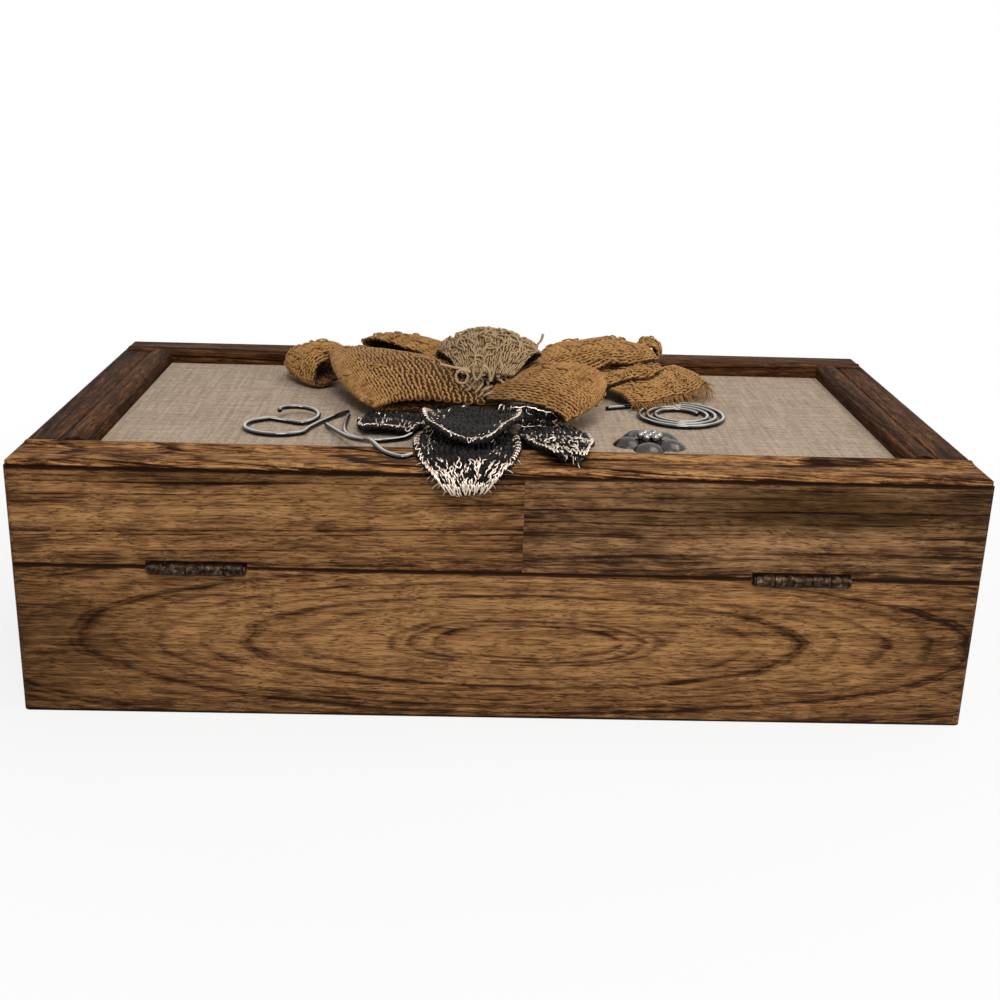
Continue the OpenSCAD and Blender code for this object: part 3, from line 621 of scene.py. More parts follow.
PETALS = {
    "petal_gold_left": ribbon(
        [[-8, 4, 9.4], [-49, 4, 23], [-67, 5, -0.8], [-20, 3, 5.4]],
        half=22, ends=(13, 12), across=112, fold=(50, 36, 14), lean=10, wales="across"),
    "petal_gold_left_roll": ribbon(
        [[-50, 37, 10], [-68, 26, 18], [-70, 22, -6.2], [-53, 34, 3.2]],
        half=10, ends=(8, 9), across=122, fold=(50, 40, 40), lean=4),
    "petal_gold_back_left": ribbon(
        [[-15.9, 31.5, 11], [-44.9, 49.5, 19.6], [-47.9, 51.5, 5], [-17.9, 36.5, 4.6]],
        half=11, ends=(9, 8), across=57, fold=(32, 20, 24), lean=-6),
    "petal_gold_right_front": ribbon(
        [[0, 0, 9], [24, -16, 23.6], [40, -30, 2.4], [12, -9, 5]],
        half=15.5, ends=(10.5, 9), across=-118, fold=(44, 40, 18), lean=-11),
    "petal_gold_right_back": ribbon(
        [[13, 20, 9.8], [24, 25, 16.8], [38, 31, 16.4], [48.5, 37, 12.8]],
        half=12.5, ends=(9.5, 9), across=-64, fold=(56, 56, 56), lean=-6),
    "petal_gold_right_fold": ribbon(
        [[27, 14, 6.3], [35, 18, 8.6], [45, 22, 9.3], [51, 27, 9.1]],
        half=6, ends=(4, 4), across=-60, fold=(40, 40, 40), lean=-4),
    "petal_gold_right_roll": ribbon(
        [[50, 39.1, 12.2], [50.4, 42.7, 13.2], [50.4, 45.7, 13.5], [50, 49.7, 12.9]],
        half=9, ends=(7, 7), across=0, fold=(280, 280, 280), lean=0, wales="across"),
    "petal_gold_right_frayed": ribbon(
        [[37, 9.4, 4.2], [45, 13, 5.2], [55, 20.4, 5.8], [63, 31, 6.4]],
        half=9, ends=(6.4, 8.6), across=-60, fold=(30, 30, 30), lean=-8),
    "flower_centre_tuft": ribbon(
        [[-3, 32, 8.4], [-2.5, 26, 22], [-4, 7, 27], [-4, -6.4, 13.1]],
        half=18.5, ends=(12, 8), across=166, fold=(84, 88, 26), lean=-4, yarn="greige"),
    "petal_dark_left": ribbon(
        [[-30, -11.5, 1.5], [-31, -18, 1.5], [-31.6, -25, 2.6], [-32, -31.5, 2.8]],
        half=9.8, ends=(9, 7), across=180, fold=(10, 16, 24), lean=0, yarn="dark"),
    "petal_dark_cup_lower": ribbon(
        [[-9.5, 30, -2.4], [-9.5, 0, 1.6], [-9.5, -23.5, 6.6], [-9.5, -21.8, -6.6]], ON_RAIL,
        half=14, ends=(8, 4), across=180, fold=(14, 20, 40), lean=0, yarn="dark", rim=0.45),
    "petal_dark_cup_upper": ribbon(
        [[-5, 41, -0.8], [-9, 14, 1], [-9, 0, 4], [-9, -13.2, 4.8]], ON_RAIL,
        half=14.5, ends=(6.5, 6), across=180, fold=(-10, -60, -60), lean=0,
        yarn="dark", rim=0.55),
    "petal_dark_right": ribbon(
        [[13.8, 34, -3], [14.8, 8, -2], [15.4, -4, 5.6], [17.2, -13, 1.8]], ON_RAIL,
        half=9.5, ends=(7, 3.5), across=180, fold=(16, 20, 40), lean=0, yarn="dark",
        flap=ribbon(
            [[-1.5, -26.5, 6.2], [4, -28.5, 6.6], [10, -28.5, 6.2], [16, -26, 4.8]],
            half=3.2, ends=(2.4, 2.2), across=90, fold=(50, 40, 40), lean=-68, yarn="dark", wales="across")),
}

# %% [markdown]
# Gold and greige are matt wool-like yarns with a soft sheen. The dark ribbon is
# black yarn run together with a bright metal thread, which shows only where it lies on top.

# %% Yarn finishes
FUZZ_MM = 0.5
FUZZ_RELIEF_MM = 0.1
TONES = (0.1, 0.5, 0.9)


def yarn_finish(name, colours, sheen=0.12):
    """Matt spun yarn: a tone per stitch from the piece's own tone attribute, which holds painted shade,
    broken up by fine fibres.
    """
    made, tree, shader = new_material(
        name, Roughness=0.9, Sheen_Weight=sheen, Sheen_Roughness=0.5, Specular_IOR_Level=0.15)
    tone_and_shade = add(tree, "Attribute", out="Fac", attribute_name="tone_and_shade")
    place = add(tree, "TexCoord", out="Object")
    fuzz = add(tree, "TexNoise", [place, 1.0, 1 / (FUZZ_MM * MM), 3.0, 0.7], noise_dimensions="4D")
    uneven = add(tree, "Math", [fuzz, 0.5], operation="SUBTRACT")
    tone = add(tree, "Math", [uneven, 0.5, tone_and_shade], operation="MULTIPLY_ADD")
    colour = add(tree, "ValToRGB", [tone], stops=list(zip(TONES, colours)))
    bump = add(tree, "Bump", {"Height": fuzz, "Strength": 0.5, "Distance": FUZZ_RELIEF_MM * MM})
    finish_from(tree, shader, Base_Color=colour, Normal=bump)
    return made


YARN = {
    "gold": yarn_finish("gold_wool_yarn", ("#4e2f0c", "#875a26", "#c0925a")),
    "greige": yarn_finish("greige_wool_yarn", ("#5c462d", "#93754f", "#c0a47d")),
    "dark": yarn_finish("black_cotton_yarn", ("#0a0807", "#161211", "#26201e"), sheen=0.05),
}
# Darkened copies of the yarns for the sheet under the stitches: painted shade between and behind the loops
SHADE_GROUND = {
    "gold": yarn_finish("gold_knit_ground_shade", ("#241404", "#361f09", "#4a2e12")),
    "greige": yarn_finish("greige_knit_ground_shade", ("#33261a", "#4d3b27", "#664f36")),
    "dark": yarn_finish("black_knit_ground_shade", ("#080606", "#100d0c", "#181413"), sheen=0.0),
}
BRIGHT = new_material("silver_metal_thread", Metallic=1.0, Roughness=0.28, Base_Color=linear("#d9c7b7"))[0]

# %% [markdown]
# A knit could be drawn as a bump on the petal, but its edge would stay smooth. So the loops are real
# tubes: all rows of a petal are worked out together as one array and swept at once. The dark ribbons
# carry dashes of metal thread on the front of their loops and a chain of it round the rim.

# %% Stitches on the petals
STITCH_MM = {"gold": (2.4, 2.0), "greige": (2.2, 1.9), "dark": (2.8, 2.4)}
YARN_MM = {"gold": 0.37, "greige": 0.37, "dark": 0.40}
SLACK = {"gold": 0.10, "greige": 0.18, "dark": 0.28}
# Tone of each kind of part. Pulled threads are lighter: painted highlight on the loops that arch off the
# ribbon
PART_TONE = {"cloth": 0.5, "pulled": 0.7, "fringe": 0.6, "threads": 0.8, "winding": 0.45}
SLOT = {"gold": "gold_knit", "greige": "greige_knit", "dark": "dark_mesh"}
STITCH_STEPS = 10
YARN_SIDES = 6
LOOP_BACK = 1.2
LOOP_HEIGHT = 0.85
LOOP_DEPTH_MM = 0.42
GROUND_MM = 0.16
GROUND_GRID = (44, 26)
NORMAL_MM = 0.5
FRONT_BACK_SHADE = 0.28
STRAY_LIGHT = 0.07
STRAY_DEPTH_MM = 0.3
NARROWEST = 0.55


def petal_size(petal):
    """Length of the spine, full width at the belly and area of the middle of the cloth, in mm."""
    u, v = np.meshgrid(np.linspace(0, 1, 81), np.linspace(-1, 1, 61), indexing="ij")
    grid = petal_point(petal, u, v)
    du = np.diff(grid, axis=0)[:, :-1]
    dv = np.diff(grid, axis=1)[:-1]
    area = np.linalg.norm(np.cross(du, dv), axis=-1).sum()
    middle = grid.shape[1] // 2
    length = np.linalg.norm(np.diff(grid[:, middle], axis=0), axis=-1).sum()
    return length, 2 * petal["half"], area


def on_petal(petal, u, v, off):
    """Points of a petal at a distance off the cloth, and the outward normals there."""
    points = petal_point(petal, u, v, off)
    return points, unit(petal_point(petal, u, v, off + NORMAL_MM) - points)


def ground_cloth(petal):
    """Closed thin sheet under the stitches: an upper and a lower grid and the strip round their edge."""
    rows, cols = GROUND_GRID
    u, v = np.meshgrid(np.linspace(0, 1, rows), np.linspace(-1, 1, cols), indexing="ij")
    upper, lower = (petal_point(petal, u, v, off).reshape(-1, 3) for off in (GROUND_MM, -GROUND_MM))
    top = grid_faces(rows, cols)
    number = np.arange(rows * cols).reshape(rows, cols)
    rim = np.concatenate([number[0], number[1:, -1], number[-1, -2::-1], number[-2:0:-1, 0]])
    after = np.roll(rim, -1)
    low = rows * cols
    edge = np.stack([rim, after, after + low, rim + low], axis=1)
    return np.concatenate([upper, lower]), np.concatenate([top, top[:, ::-1] + low, edge[:, ::-1]])


def stitch_paths(petal, seed):
    """Rows of loops over a petal: paths, outward normals, radius factors, tones and nearness to the rim.

    The yarn's tone holds painted shade: lighter where it passes in front and darker where it passes
    behind. Each stitch strays a little from its place, and the stray is blended from stitch to stitch.
    """
    length, width, _ = petal_size(petal)
    wale, course = STITCH_MM[petal["yarn"]]
    run, climb = (length, width) if petal["wales"] == "across" else (width, length)
    wales, courses = max(3, round(run / wale)), max(3, round(climb / course))
    draw = np.random.default_rng(seed)
    t = np.linspace(0, 2 * np.pi * wales, wales * STITCH_STEPS + 1)
    row = np.arange(courses)[:, None]
    place = np.clip(t / (2 * np.pi) - 0.5, 0, wales - 1.001)
    cell = place.astype(int)
    stray = draw.normal(size=(4, courses, wales))
    stray = stray[:, :, cell] * (1 - place + cell) + stray[:, :, cell + 1] * (place - cell)
    slack = SLACK[petal["yarn"]]
    along = (t + LOOP_BACK * np.sin(2 * t)) / (2 * np.pi * wales) + slack * stray[0] / wales
    height = (row + 0.5 + slack * stray[1] + LOOP_HEIGHT * np.cos(t)) / courses
    depth = -LOOP_DEPTH_MM * np.cos(2 * t) + STRAY_DEPTH_MM * slack * stray[2]
    along, height = np.clip(along, 0, 1), np.clip(height, 0.0, 1.0)
    u, v = (along, 2 * height - 1) if petal["wales"] == "across" else (height, 2 * along - 1)
    paths, normals = on_petal(petal, u, v, depth)
    narrow = np.clip(petal_half(petal, u) / petal["half"], NARROWEST, 1.0)
    # Painted shade: the yarn is darker where it passes behind
    tone = 0.5 + FRONT_BACK_SHADE * depth / LOOP_DEPTH_MM + STRAY_LIGHT * stray[3]
    return paths, normals, narrow, tone, np.maximum(np.abs(v), 2 * u - 1)


GLINT_MM = 0.20
GLINT_LIFT = 0.8
GLINT_SHARE = 0.30
GLINT_STEPS = (3, 4, 5, 7)


def glints(petal, paths, normals, edge, seed):
    """Short stretches of metal thread of several lengths that lie on the front of some of the stitches."""
    draw = np.random.default_rng(seed)
    rows, steps = paths.shape[:2]
    begin = np.arange(1, steps - max(GLINT_STEPS) - 2, STITCH_STEPS // 2)
    begin = begin[None, :] + draw.integers(0, 3, (rows, len(begin)))
    lit = draw.random(begin.shape) < GLINT_SHARE
    # Painted shade: no metal thread inside the rim, so the inside of a cup stays black
    lit &= np.take_along_axis(edge, begin, axis=1) >= petal.get("rim", 0.0)
    length = draw.choice(GLINT_STEPS, begin.shape)
    parts = []
    for count in GLINT_STEPS:
        row, place = np.nonzero(lit & (length == count))
        span = begin[row, place][:, None] + np.arange(count)
        facing = normals[row[:, None], span]
        lifted = paths[row[:, None], span] + YARN_MM["dark"] * GLINT_LIFT * facing
        parts.append(tubes(lifted, facing, GLINT_MM, 4))
    return joined(parts)


CHAIN_MM = 2.3
CHAIN_FILL = 0.85
CHAIN_SHARE = 0.74
CHAIN_START = 0.25
CHAIN_INSET = 0.10
CHAIN_ARCH_MM = 0.1


def rim_chain(petal, seed):
    """Bright chain stitches round a ribbon's sides and end: slanted dashes in pairs, as the legs of a V.

    The way round the rim goes up one side, across the end and down the other side. A dash moves on
    along it and from the rim inward, or the other way for its partner.
    """
    draw = np.random.default_rng(seed)
    length, width, _ = petal_size(petal)
    side = (1 - CHAIN_START) * length
    turn = np.cumsum([0, side, width, side])
    begin = np.arange(0, turn[-1] - CHAIN_MM, CHAIN_MM / 2)
    begin = begin[draw.random(len(begin)) < CHAIN_SHARE]
    slant = np.where(np.arange(len(begin)) % 2, 1.0, -1.0)[:, None]
    q = np.linspace(0, 1, 6)[None, :]
    place = begin[:, None] + CHAIN_FILL * CHAIN_MM * q
    inset = CHAIN_INSET * (0.5 + slant * (q - 0.5)) + 0.01
    reached = np.interp(place, turn, [CHAIN_START, 1, 1, CHAIN_START])
    u = CHAIN_START + (reached - CHAIN_START) * (1 - inset)
    v = np.interp(place, turn, [-1, -1, 1, 1]) * (1 - inset)
    lift = LOOP_DEPTH_MM + YARN_MM["dark"] + CHAIN_ARCH_MM * np.sin(np.pi * q)
    paths, facing = on_petal(petal, u, v, lift)
    return tubes(paths, facing, GLINT_MM * 1.1, 5)


# %% [markdown]
# Cut edges of a knit come apart. Strands hang from the ends of the dark ribbons and from one side of
# the frayed gold petal, and a few curls of yarn have worked loose under the centre tuft.

# %% Frayed edges and loose threads
STRAND_MM = 0.14
STRAND_TAPER = 0.4
FRAYED_FROM = 0.55
THREAD_SHARE = 1.1
THREAD_FACING = (0.1, -0.5, 0.8)
STRAND_FACING = (0.3, -0.6, 0.75)
PULLED = dict(count=30, start=(0.05, 0.9), reach=(2.0, 4.5), spread=0.8, arch=0.35)
ARCS = {name: PULLED for name in PETALS if PETALS[name]["yarn"] == "gold"}
ARCS["flower_centre_tuft"] = dict(count=130, start=(0.25, 0.95), reach=(3.0, 8.0), spread=1.3, arch=0.7)
# The lower cup's strands start low on it, so the black under the upper cup's rim stays bare: painted shade
ARCS["petal_dark_cup_lower"] = dict(count=80, start=(0.68, 0.95), reach=(2.0, 5.0), spread=0.2, arch=0.25)
ARCS["petal_dark_right"] = dict(count=34, start=(0.45, 0.95), reach=(1.5, 3.5), spread=0.5, arch=0.25)
FRINGES = {
    "petal_dark_cup_lower": dict(edge="sides", count=30, reach=(0.6, 1.8), sag=1.0, stray=0.18, shine=0.4),
    "petal_dark_right": dict(edge="end", count=40, reach=(0.8, 2.4), sag=0.3, stray=0.25, shine=0.4),
    "petal_gold_right_frayed": dict(edge="side", count=190, reach=(1.6, 4.4), sag=0.7, stray=0.3, shine=0.0),
}
CURLS = dict(
    middle=(-4.5, -3.5, 8.0 + linen_z), spread=(7.5, 3.5, 3.0), count=16, turns=1.5, radius=(1.2, 2.2))
CURL_PITCH_MM = 0.25
SWING_MM = 0.35
THREADS = {
    "flower_centre_tuft": [
        [(-17.9, -9, 16.2), (-15.2, -9, 15.6), (-12.6, -9, 15.1), (-9.6, -9, 14.9)],
        [(-13.1, -10, 14.1), (-11.1, -10, 14.8), (-9.6, -10, 13), (-10.7, -10, 10.9), (-12.8, -10, 11.4),
         (-13.1, -10, 13.5), (-11.4, -10, 14.8), (-9, -10, 14.2)],
        [(-7.9, -9, 16.7), (-8.1, -9, 14), (-7.2, -9, 11.6), (-5.8, -9, 13.5), (-4.9, -9, 15.9),
         (-3.4, -9, 14.1), (-3, -9, 11.4), (-2.2, -9, 13.6), (-1.7, -9, 16)],
        [(10.3, 10, 16.2), (11.4, 10, 18.4), (12.6, 10, 20), (13.1, 10, 21.9)],
    ],
}


def fringe(petal, look, seed):
    """Strands from a petal's edge: each runs outward, sags by the square of its length and strays."""
    draw = np.random.default_rng(seed)
    count = look["count"]
    t = draw.random(count)
    end = look["edge"] == "end"
    u, v = (np.ones(count), 2 * t - 1) if end else (t, np.ones(count))
    if look["edge"] == "sides":
        u = FRAYED_FROM + (1 - FRAYED_FROM) * t
        v = np.where(np.arange(count) % 2, 1.0, -1.0)
    start = petal_point(petal, u, v)
    inside = petal_point(petal, u - 0.06, v) if end else petal_point(petal, u, 0.85 * v)
    out = unit(start - inside)
    stray = look["stray"] * draw.normal(size=(2, count, 1, 3))
    length = draw.uniform(*look["reach"], count)[:, None, None]
    step = np.linspace(0, 1, 7)[None, :, None]
    way = out[:, None] + stray[0]
    paths = start[:, None] + length * (step * way + step ** 2 * (stray[1] - [0, 0, look["sag"]]))
    facing = np.broadcast_to(unit(np.array(STRAND_FACING)), paths.shape)
    lit = draw.random(count) < look["shine"]
    taper = STRAND_MM * (1 - STRAND_TAPER * step[..., 0])
    return [tubes(paths[side], facing[side], taper, 4) for side in (~lit, lit) if side.any()]


def arcs(petal, look, seed):
    """Pulled threads: each starts at a drawn place, runs at a slant, swings and arches off the ribbon."""
    draw = np.random.default_rng(seed)
    length, width, _ = petal_size(petal)
    size = (look["count"], 1)
    q = np.linspace(0, 1, 10)[None, :]
    reach = draw.uniform(*look["reach"], size)
    slant = draw.normal(0, look["spread"], size)
    swing = SWING_MM * np.sin(2 * np.pi * q + draw.uniform(0, 2 * np.pi, size))
    u = draw.uniform(*look["start"], size) + (np.cos(slant) * reach * q - np.sin(slant) * swing) / length
    v = draw.uniform(-0.95, 0.95, size) + 2 * (np.sin(slant) * reach * q + np.cos(slant) * swing) / width
    keep = ((u > 0) & (u < 1) & (np.abs(v) < 1)).all(axis=1)
    u, v = u[keep], v[keep]
    lift = LOOP_DEPTH_MM + 0.8 * YARN_MM[petal["yarn"]] + look["arch"] * np.sin(np.pi * q)
    paths, facing = on_petal(petal, u, v, lift)
    thick = GLINT_MM if petal["yarn"] == "dark" else 0.75 * YARN_MM[petal["yarn"]]
    return tubes(paths, facing, thick, 5)


def curls(look, seed):
    """Loose curls of yarn: open rings some 3 mm across in all directions, each drawn out like a spring."""
    draw = np.random.default_rng(seed)
    count = look["count"]
    a = np.linspace(0, look["turns"] * 2 * np.pi, 26)[None, :, None]
    one, two = unit(draw.normal(size=(2, count, 1, 3)))
    two = unit(two - (one * two).sum(-1, keepdims=True) * one)
    radius = draw.uniform(*look["radius"], (count, 1, 1))
    heart = np.array(look["middle"]) + draw.uniform(-1, 1, (count, 1, 3)) * np.array(look["spread"])
    return heart + radius * (np.cos(a) * one + np.sin(a) * two) + CURL_PITCH_MM * a * np.cross(one, two)


def stitched(name, petal, seed):
    """The yarn of one ribbon and, on a dark one, its metal thread, as a list of pieces."""
    yarn = petal["yarn"]
    paths, normals, narrow, tone, edge = stitch_paths(petal, seed)
    points, faces = tubes(paths, normals, YARN_MM[yarn] * narrow, YARN_SIDES)
    tones_and_shade = np.repeat(tone, YARN_SIDES)
    made = [piece(name + "_yarn", points, faces, YARN[yarn], "lid", SLOT[yarn], tones_and_shade)]
    if yarn == "dark":
        points, faces = joined([glints(petal, paths, normals, edge, seed), rim_chain(petal, seed)])
        made.append(piece(name + "_glints", points, faces, BRIGHT, "lid", SLOT[yarn]))
    return made


def knit(name, petal, seed):
    """Ground cloth and yarn of one petal, with its flap, fringe and loose threads; returns the yarn."""
    yarn = petal["yarn"]
    cloth = piece(name + "_cloth", *ground_cloth(petal), SHADE_GROUND[yarn], "lid", SLOT[yarn], PART_TONE["cloth"])
    worn = stitched(name, petal, seed)
    if "flap" in petal:
        worn += stitched(name + "_flap", petal["flap"], seed + 50)
    if name in ARCS:
        finish = BRIGHT if yarn == "dark" else YARN[yarn]
        pulled = arcs(petal, ARCS[name], seed)
        worn.append(piece(name + "_pulled", *pulled, finish, "lid", SLOT[yarn], PART_TONE["pulled"]))
    if name in FRINGES:
        for number, strands in enumerate(fringe(petal, FRINGES[name], seed)):
            finish = BRIGHT if number else YARN[yarn]
            title = name + "_fringe_" + str(number)
            worn.append(piece(title, *strands, finish, "lid", SLOT[yarn], PART_TONE["fringe"]))
    if name in THREADS:
        lines = [through(np.array(line) + ON_LINEN, 8) for line in THREADS[name]]
        lines += list(curls(CURLS, seed))
        thick = THREAD_SHARE * YARN_MM[yarn]
        facing = [np.broadcast_to(THREAD_FACING, line.shape) for line in lines]
        loose = joined([tubes(line[None], way[None], thick, 6) for line, way in zip(lines, facing)])
        worn.append(piece(name + "_threads", *loose, YARN[yarn], "lid", SLOT[yarn], PART_TONE["threads"]))
    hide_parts(name)
    return worn[0]


FIRST_SEED = 100
for number, (name, petal) in enumerate(PETALS.items()):
    loops = knit(name, petal, FIRST_SEED + number)
    length, width, area = petal_size(petal)
    print(name, round(width, 1), "by", round(length, 1), "mm flat,", round(area), "mm2")
    print("    stitch quads:", len(loops.data.polygons))

# %% [markdown]
# The centre is padded with a small ball of the same yarn, wound round and round. The dome is a stack
# of rings from a point at its foot to a point at its top; the yarn climbs over it in one long spiral.

# %% Padded core under the centre
PAD_INSET_MM = 0.4
WINDINGS = 13
WINDING_MM = 0.40
WINDING_INSET_MM = (0.45, 0.6)
low, high = span_mm("flower_core")
middle = np.array([*(low + high)[:2] / 2, low[2]])
radius, height = (high - low)[0] / 2, high[2] - low[2]
bow = np.linspace(0, 0.497 * np.pi, 16)
rise = np.concatenate([[0.0], 0.01 + (height - 0.02) * np.sin(bow)])
around = np.concatenate([[0.02], (radius - PAD_INSET_MM) * np.cos(bow)])
axis = middle + rise[:, None] * np.array([0, 0, 1.0])
points, faces = tubes(axis[None], np.broadcast_to([1.0, 0, 0], axis.shape)[None], around[None], 48)
# The pad has the darkened greige: painted shade between the windings
core = piece("flower_core_pad", points, faces, SHADE_GROUND["greige"], "lid", "greige_knit", PART_TONE["cloth"])
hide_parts("flower_core")

t = np.linspace(0.02, 0.97, 40 * WINDINGS)
a = 2 * np.pi * WINDINGS * t
bow = t * np.pi / 2
round_in = (radius - WINDING_INSET_MM[0]) * np.cos(bow)
climb = (height - WINDING_INSET_MM[1]) * np.sin(bow)
coil = np.stack([round_in * np.cos(a), round_in * np.sin(a), climb], axis=-1)
points, faces = tubes((middle + coil)[None], unit(coil + [0, 0, 0.5])[None], WINDING_MM, 6)
piece("flower_core_winding", points, faces, YARN["greige"], "lid", "greige_knit", PART_TONE["winding"])
print("core", np.round(high - low, 1), "mm,", WINDINGS, "windings")

# %% [markdown]
# ## Wire work
# Bright drawn craft wire, 1.4 mm thick, bent by hand into a scroll, a hook, a loop and a spiral. A
# wire is a round section carried along a smooth line through the points where it was bent.

# %% Wire lines
WIRE_MM = 1.4
LAY = WIRE_MM / 2 + 0.1


def oval(mid, radii, start, end, z_start, z_end):
    """Part of an ellipse from one angle to another, climbing steadily."""
    t = np.linspace(0, 1, 48)
    a = np.radians(start + (end - start) * t)
    x = mid[0] + radii[0] * np.cos(a)
    y = mid[1] + radii[1] * np.sin(a)
    return np.stack([x, y, z_start + (z_end - z_start) * t], axis=1)


SPIRAL_MID = (54.5, -3.5)
SPIRAL_R, SPIRAL_STEP, SPIRAL_TURNS, SPIRAL_START = 14, 2.4, 3.25, 110
STEM_FOOT = (33, 3)


def spiral():
    """Straight stem, then turns whose radius shrinks steadily with the angle."""
    t = np.linspace(0, SPIRAL_TURNS, 240)
    a = np.radians(SPIRAL_START - 360 * t)
    r = SPIRAL_R - SPIRAL_STEP * t
    x = SPIRAL_MID[0] + r * np.cos(a)
    y = SPIRAL_MID[1] + r * np.sin(a)
    turns = np.stack([x, y, np.full_like(t, LAY)], axis=1)
    stem = np.linspace([*STEM_FOOT, LAY], turns[0], 12)[:-1]
    return np.concatenate([stem, turns])


scroll = np.concatenate([
    [[-45, -8, LAY], [-49, -14, LAY], [-52.5, -21, LAY], [-54.6, -26.5, LAY]],
    oval((-63, -25), (9.8, 8.5), -40, -250, LAY, LAY),
    oval((-58.5, -15.5), (5.6, 6), -80, 190, LAY, LAY + 2.4),
])
HOOK_FOOT = -22
hook = through([
    [-50, HOOK_FOOT, linen_z + LAY], [-42.5, rail_y + 12, linen_z + LAY + 2],
    [-37.5, rail_y + 4, linen_z + LAY + 3.4],
    [-35, rail_y - 1.5, crest_z + LAY + 0.4], [-31, rail_y - 10, crest_z + LAY],
    [-26.5, rail_y - 13.5, crest_z + LAY - 0.2], [-23.5, rail_y - 12, crest_z + LAY],
], 10)
loop = through([
    [-44.5, -12, LAY], [-44.5, -24, LAY], [-43, -32, LAY], [-38.5, -36.5, LAY],
    [-33, -37, LAY], [-27.5, -34.5, LAY], [-25, -32, LAY + 0.5],
], 10)
WIRES = {
    "wire_scroll_left": scroll + ON_LINEN,
    "wire_hook": hook,
    "wire_loop": loop + ON_LINEN,
    "wire_spiral_right": spiral() + ON_LINEN,
}

# %% [markdown]
# The wire's colour holds painted light and shade: the height of its normal runs through a ramp of greys,
# light on top and dark underneath.

# %% Wire pieces
SMEAR_MM = 6
PAINTED_WIRE_LIGHT = [(0.05, "#272422"), (0.45, "#4d4a46"), (0.80, "#7a7671"), (0.97, "#cac6c0")]


def bright_wire(name):
    """Drawn steel wire: painted light on its upper side and painted shade below, dull in patches."""
    made, tree, shader = new_material(name, Metallic=1.0)
    painted_top_light = add(tree, "SeparateXYZ", [add(tree, "TexCoord", out="Normal")], "Z")
    # Painted light and shade from how far the surface faces up
    colour = add(tree, "ValToRGB", [painted_top_light], stops=PAINTED_WIRE_LIGHT)
    place = add(tree, "TexCoord", out="Object")
    smear = add(tree, "TexNoise", [place, 4.0, 1 / (SMEAR_MM * MM), 3.0, 0.6], noise_dimensions="4D")
    dull = add(tree, "MapRange", [smear, 0.0, 1.0, 0.12, 0.24])
    finish_from(tree, shader, Base_Color=colour, Roughness=dull)
    return made


WIRE = bright_wire("bright_craft_wire")
for name, path in WIRES.items():
    facing = np.broadcast_to([0.0, 0.0, 1.0], path.shape)
    points, faces = tubes(path[None], facing[None], WIRE_MM / 2, 14)
    wire = piece(name + "_tube", points, faces, WIRE, "lid", "craft_wire")
    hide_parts(name)
    print(name, round(np.linalg.norm(np.diff(path, axis=0), axis=1).sum(), 1), "mm of wire")

# %% [markdown]
# ## Metal flower
# A small stamped flower of aged pewter with a cluster of bright beads in its middle.

# %% Charm finish
AGE_MM = 2.5
AGE_PLACES = (0.3, 0.6, 0.8)


def pewter(name, colours):
    """Aged pewter: grey metal, darker and rougher in patches, lighter and smoother in others."""
    made, tree, shader = new_material(name, Metallic=1.0)
    place = add(tree, "TexCoord", out="Object")
    age = add(tree, "TexNoise", [place, 6.0, 1 / (AGE_MM * MM), 3.0, 0.6], noise_dimensions="4D")
    colour = add(tree, "ValToRGB", [age], stops=list(zip(AGE_PLACES, colours)))
    dull = add(tree, "MapRange", [age, 0.0, 1.0, 0.30, 0.16])
    finish_from(tree, shader, Base_Color=colour, Roughness=dull)
    return made


finish_with(pewter("aged_pewter", ("#3a3734", "#54504c", "#7c7771")), "charm_flower")
finish_with(pewter("polished_pewter", ("#6d6a66", "#97928c", "#b9b4ad")), "charm_beads")
print("charm pieces: 2")

# %% [markdown]
# ## Stage
# A white floor that keeps a soft shadow, a white surround, and three soft lamps.

# %% Floor, surround and lamps
FLOOR_MM = 4000
FLOOR_DROP_MM = 0.02
SHADOW_MM = (150, 300)
OWN_WHITE = (0.80, 1.0)
SURROUND_LIGHT = 0.22
WHITE = linear("#ffffff")


def seen_directly(tree):
    """1 for the rays that show a surface itself, to the camera, in metal or through glass, else 0."""
    shown = 0.0
    for ray in ("Is Camera Ray", "Is Glossy Ray", "Is Transmission Ray"):
        shown = add(tree, "Math", [shown, add(tree, "LightPath", out=ray)], operation="MAXIMUM")
    return shown


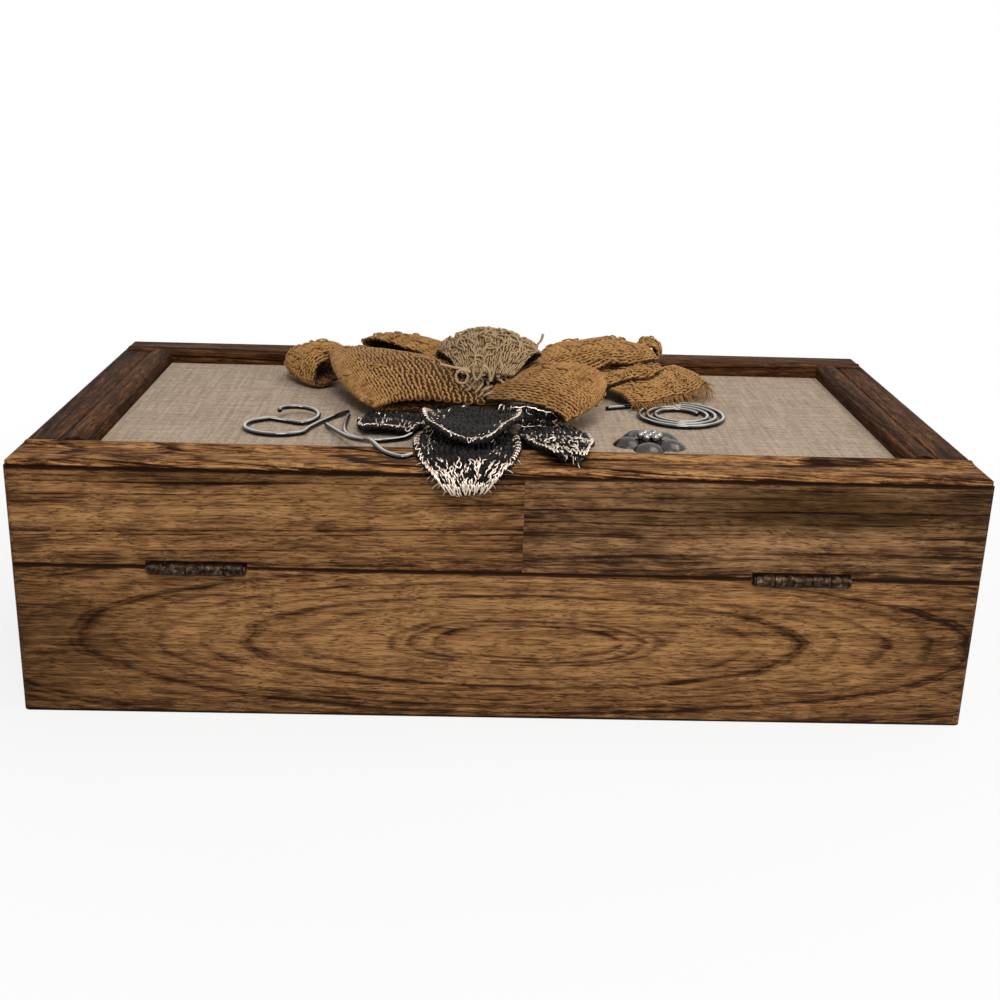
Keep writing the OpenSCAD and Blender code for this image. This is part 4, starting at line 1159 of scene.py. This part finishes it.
def white_floor(name):
    """White floor: near the box part lit and part its own white, so the shadow stays; far off white alone."""
    made, tree, shader = new_material(name, Roughness=0.9, Base_Color=linear("#e6e6e6"))
    far = add(tree, "VectorMath", [add(tree, "TexCoord", out="Object")], "Value", operation="LENGTH")
    own = add(tree, "MapRange", [far, SHADOW_MM[0] * MM, SHADOW_MM[1] * MM, *OWN_WHITE])
    glow = add(tree, "Emission", {"Color": WHITE, "Strength": 1.0})
    part = add(tree, "MixShader", [own, shader.outputs[0], glow])
    shown = add(tree, "MixShader", [seen_directly(tree), shader.outputs[0], part])
    tree.links.new(shown, tree.nodes["Material Output"].inputs["Surface"])
    return made


corners = np.array([[-1, -1, 0], [1, -1, 0], [1, 1, 0], [-1, 1, 0]])
floor_points = corners * FLOOR_MM / 2 - [0, 0, FLOOR_DROP_MM]
floor = piece("floor", floor_points, np.array([[0, 1, 2, 3]]), white_floor("white_floor"), None)
floor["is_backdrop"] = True

world = bpy.data.worlds.new("studio")
bpy.context.scene.world = world
world.use_nodes = True
sky = world.node_tree
surround = add(sky, "MapRange", [seen_directly(sky), 0.0, 1.0, SURROUND_LIGHT, 1.0])
back = sky.nodes["Background"]
back.inputs["Color"].default_value = WHITE
sky.links.new(surround, back.inputs["Strength"])


def softbox(name, place_mm, aim_mm, size_mm, watts):
    """A white square area lamp at a place, turned to face a point."""
    data = bpy.data.lights.new(name, "AREA")
    data.size = size_mm * MM
    data.energy = watts
    made = bpy.data.objects.new(name, data)
    bpy.context.scene.collection.objects.link(made)
    back_way = unit(np.array(place_mm, float) - np.array(aim_mm, float))
    right = unit(np.cross([0.0, 0.0, 1.0], back_way))
    turn = np.eye(4)
    turn[:3, :3] = np.stack([right, np.cross(back_way, right), back_way], axis=1)
    turn[:3, 3] = np.array(place_mm) * MM
    made.matrix_world = Matrix(turn.tolist())


softbox("key", (40, -740, 850), (0, -20, 50), 380, 6.8)
softbox("fill", (600, -600, 420), (0, 0, 40), 600, 2)
softbox("top", (420, 50, 950), (0, 0, 60), 600, 2.8)
bpy.context.scene.view_settings.view_transform = "Standard"

# %% [markdown]
# ## Sizes
# The box round the CAD solids and the one round the dressed part are kept, so that both can be compared.

# %% Sizes
seen_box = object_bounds()
for title, box in (("CAD box", cad_box), ("visual box", seen_box)):
    print(title, [np.round(corner, 4).tolist() for corner in box])
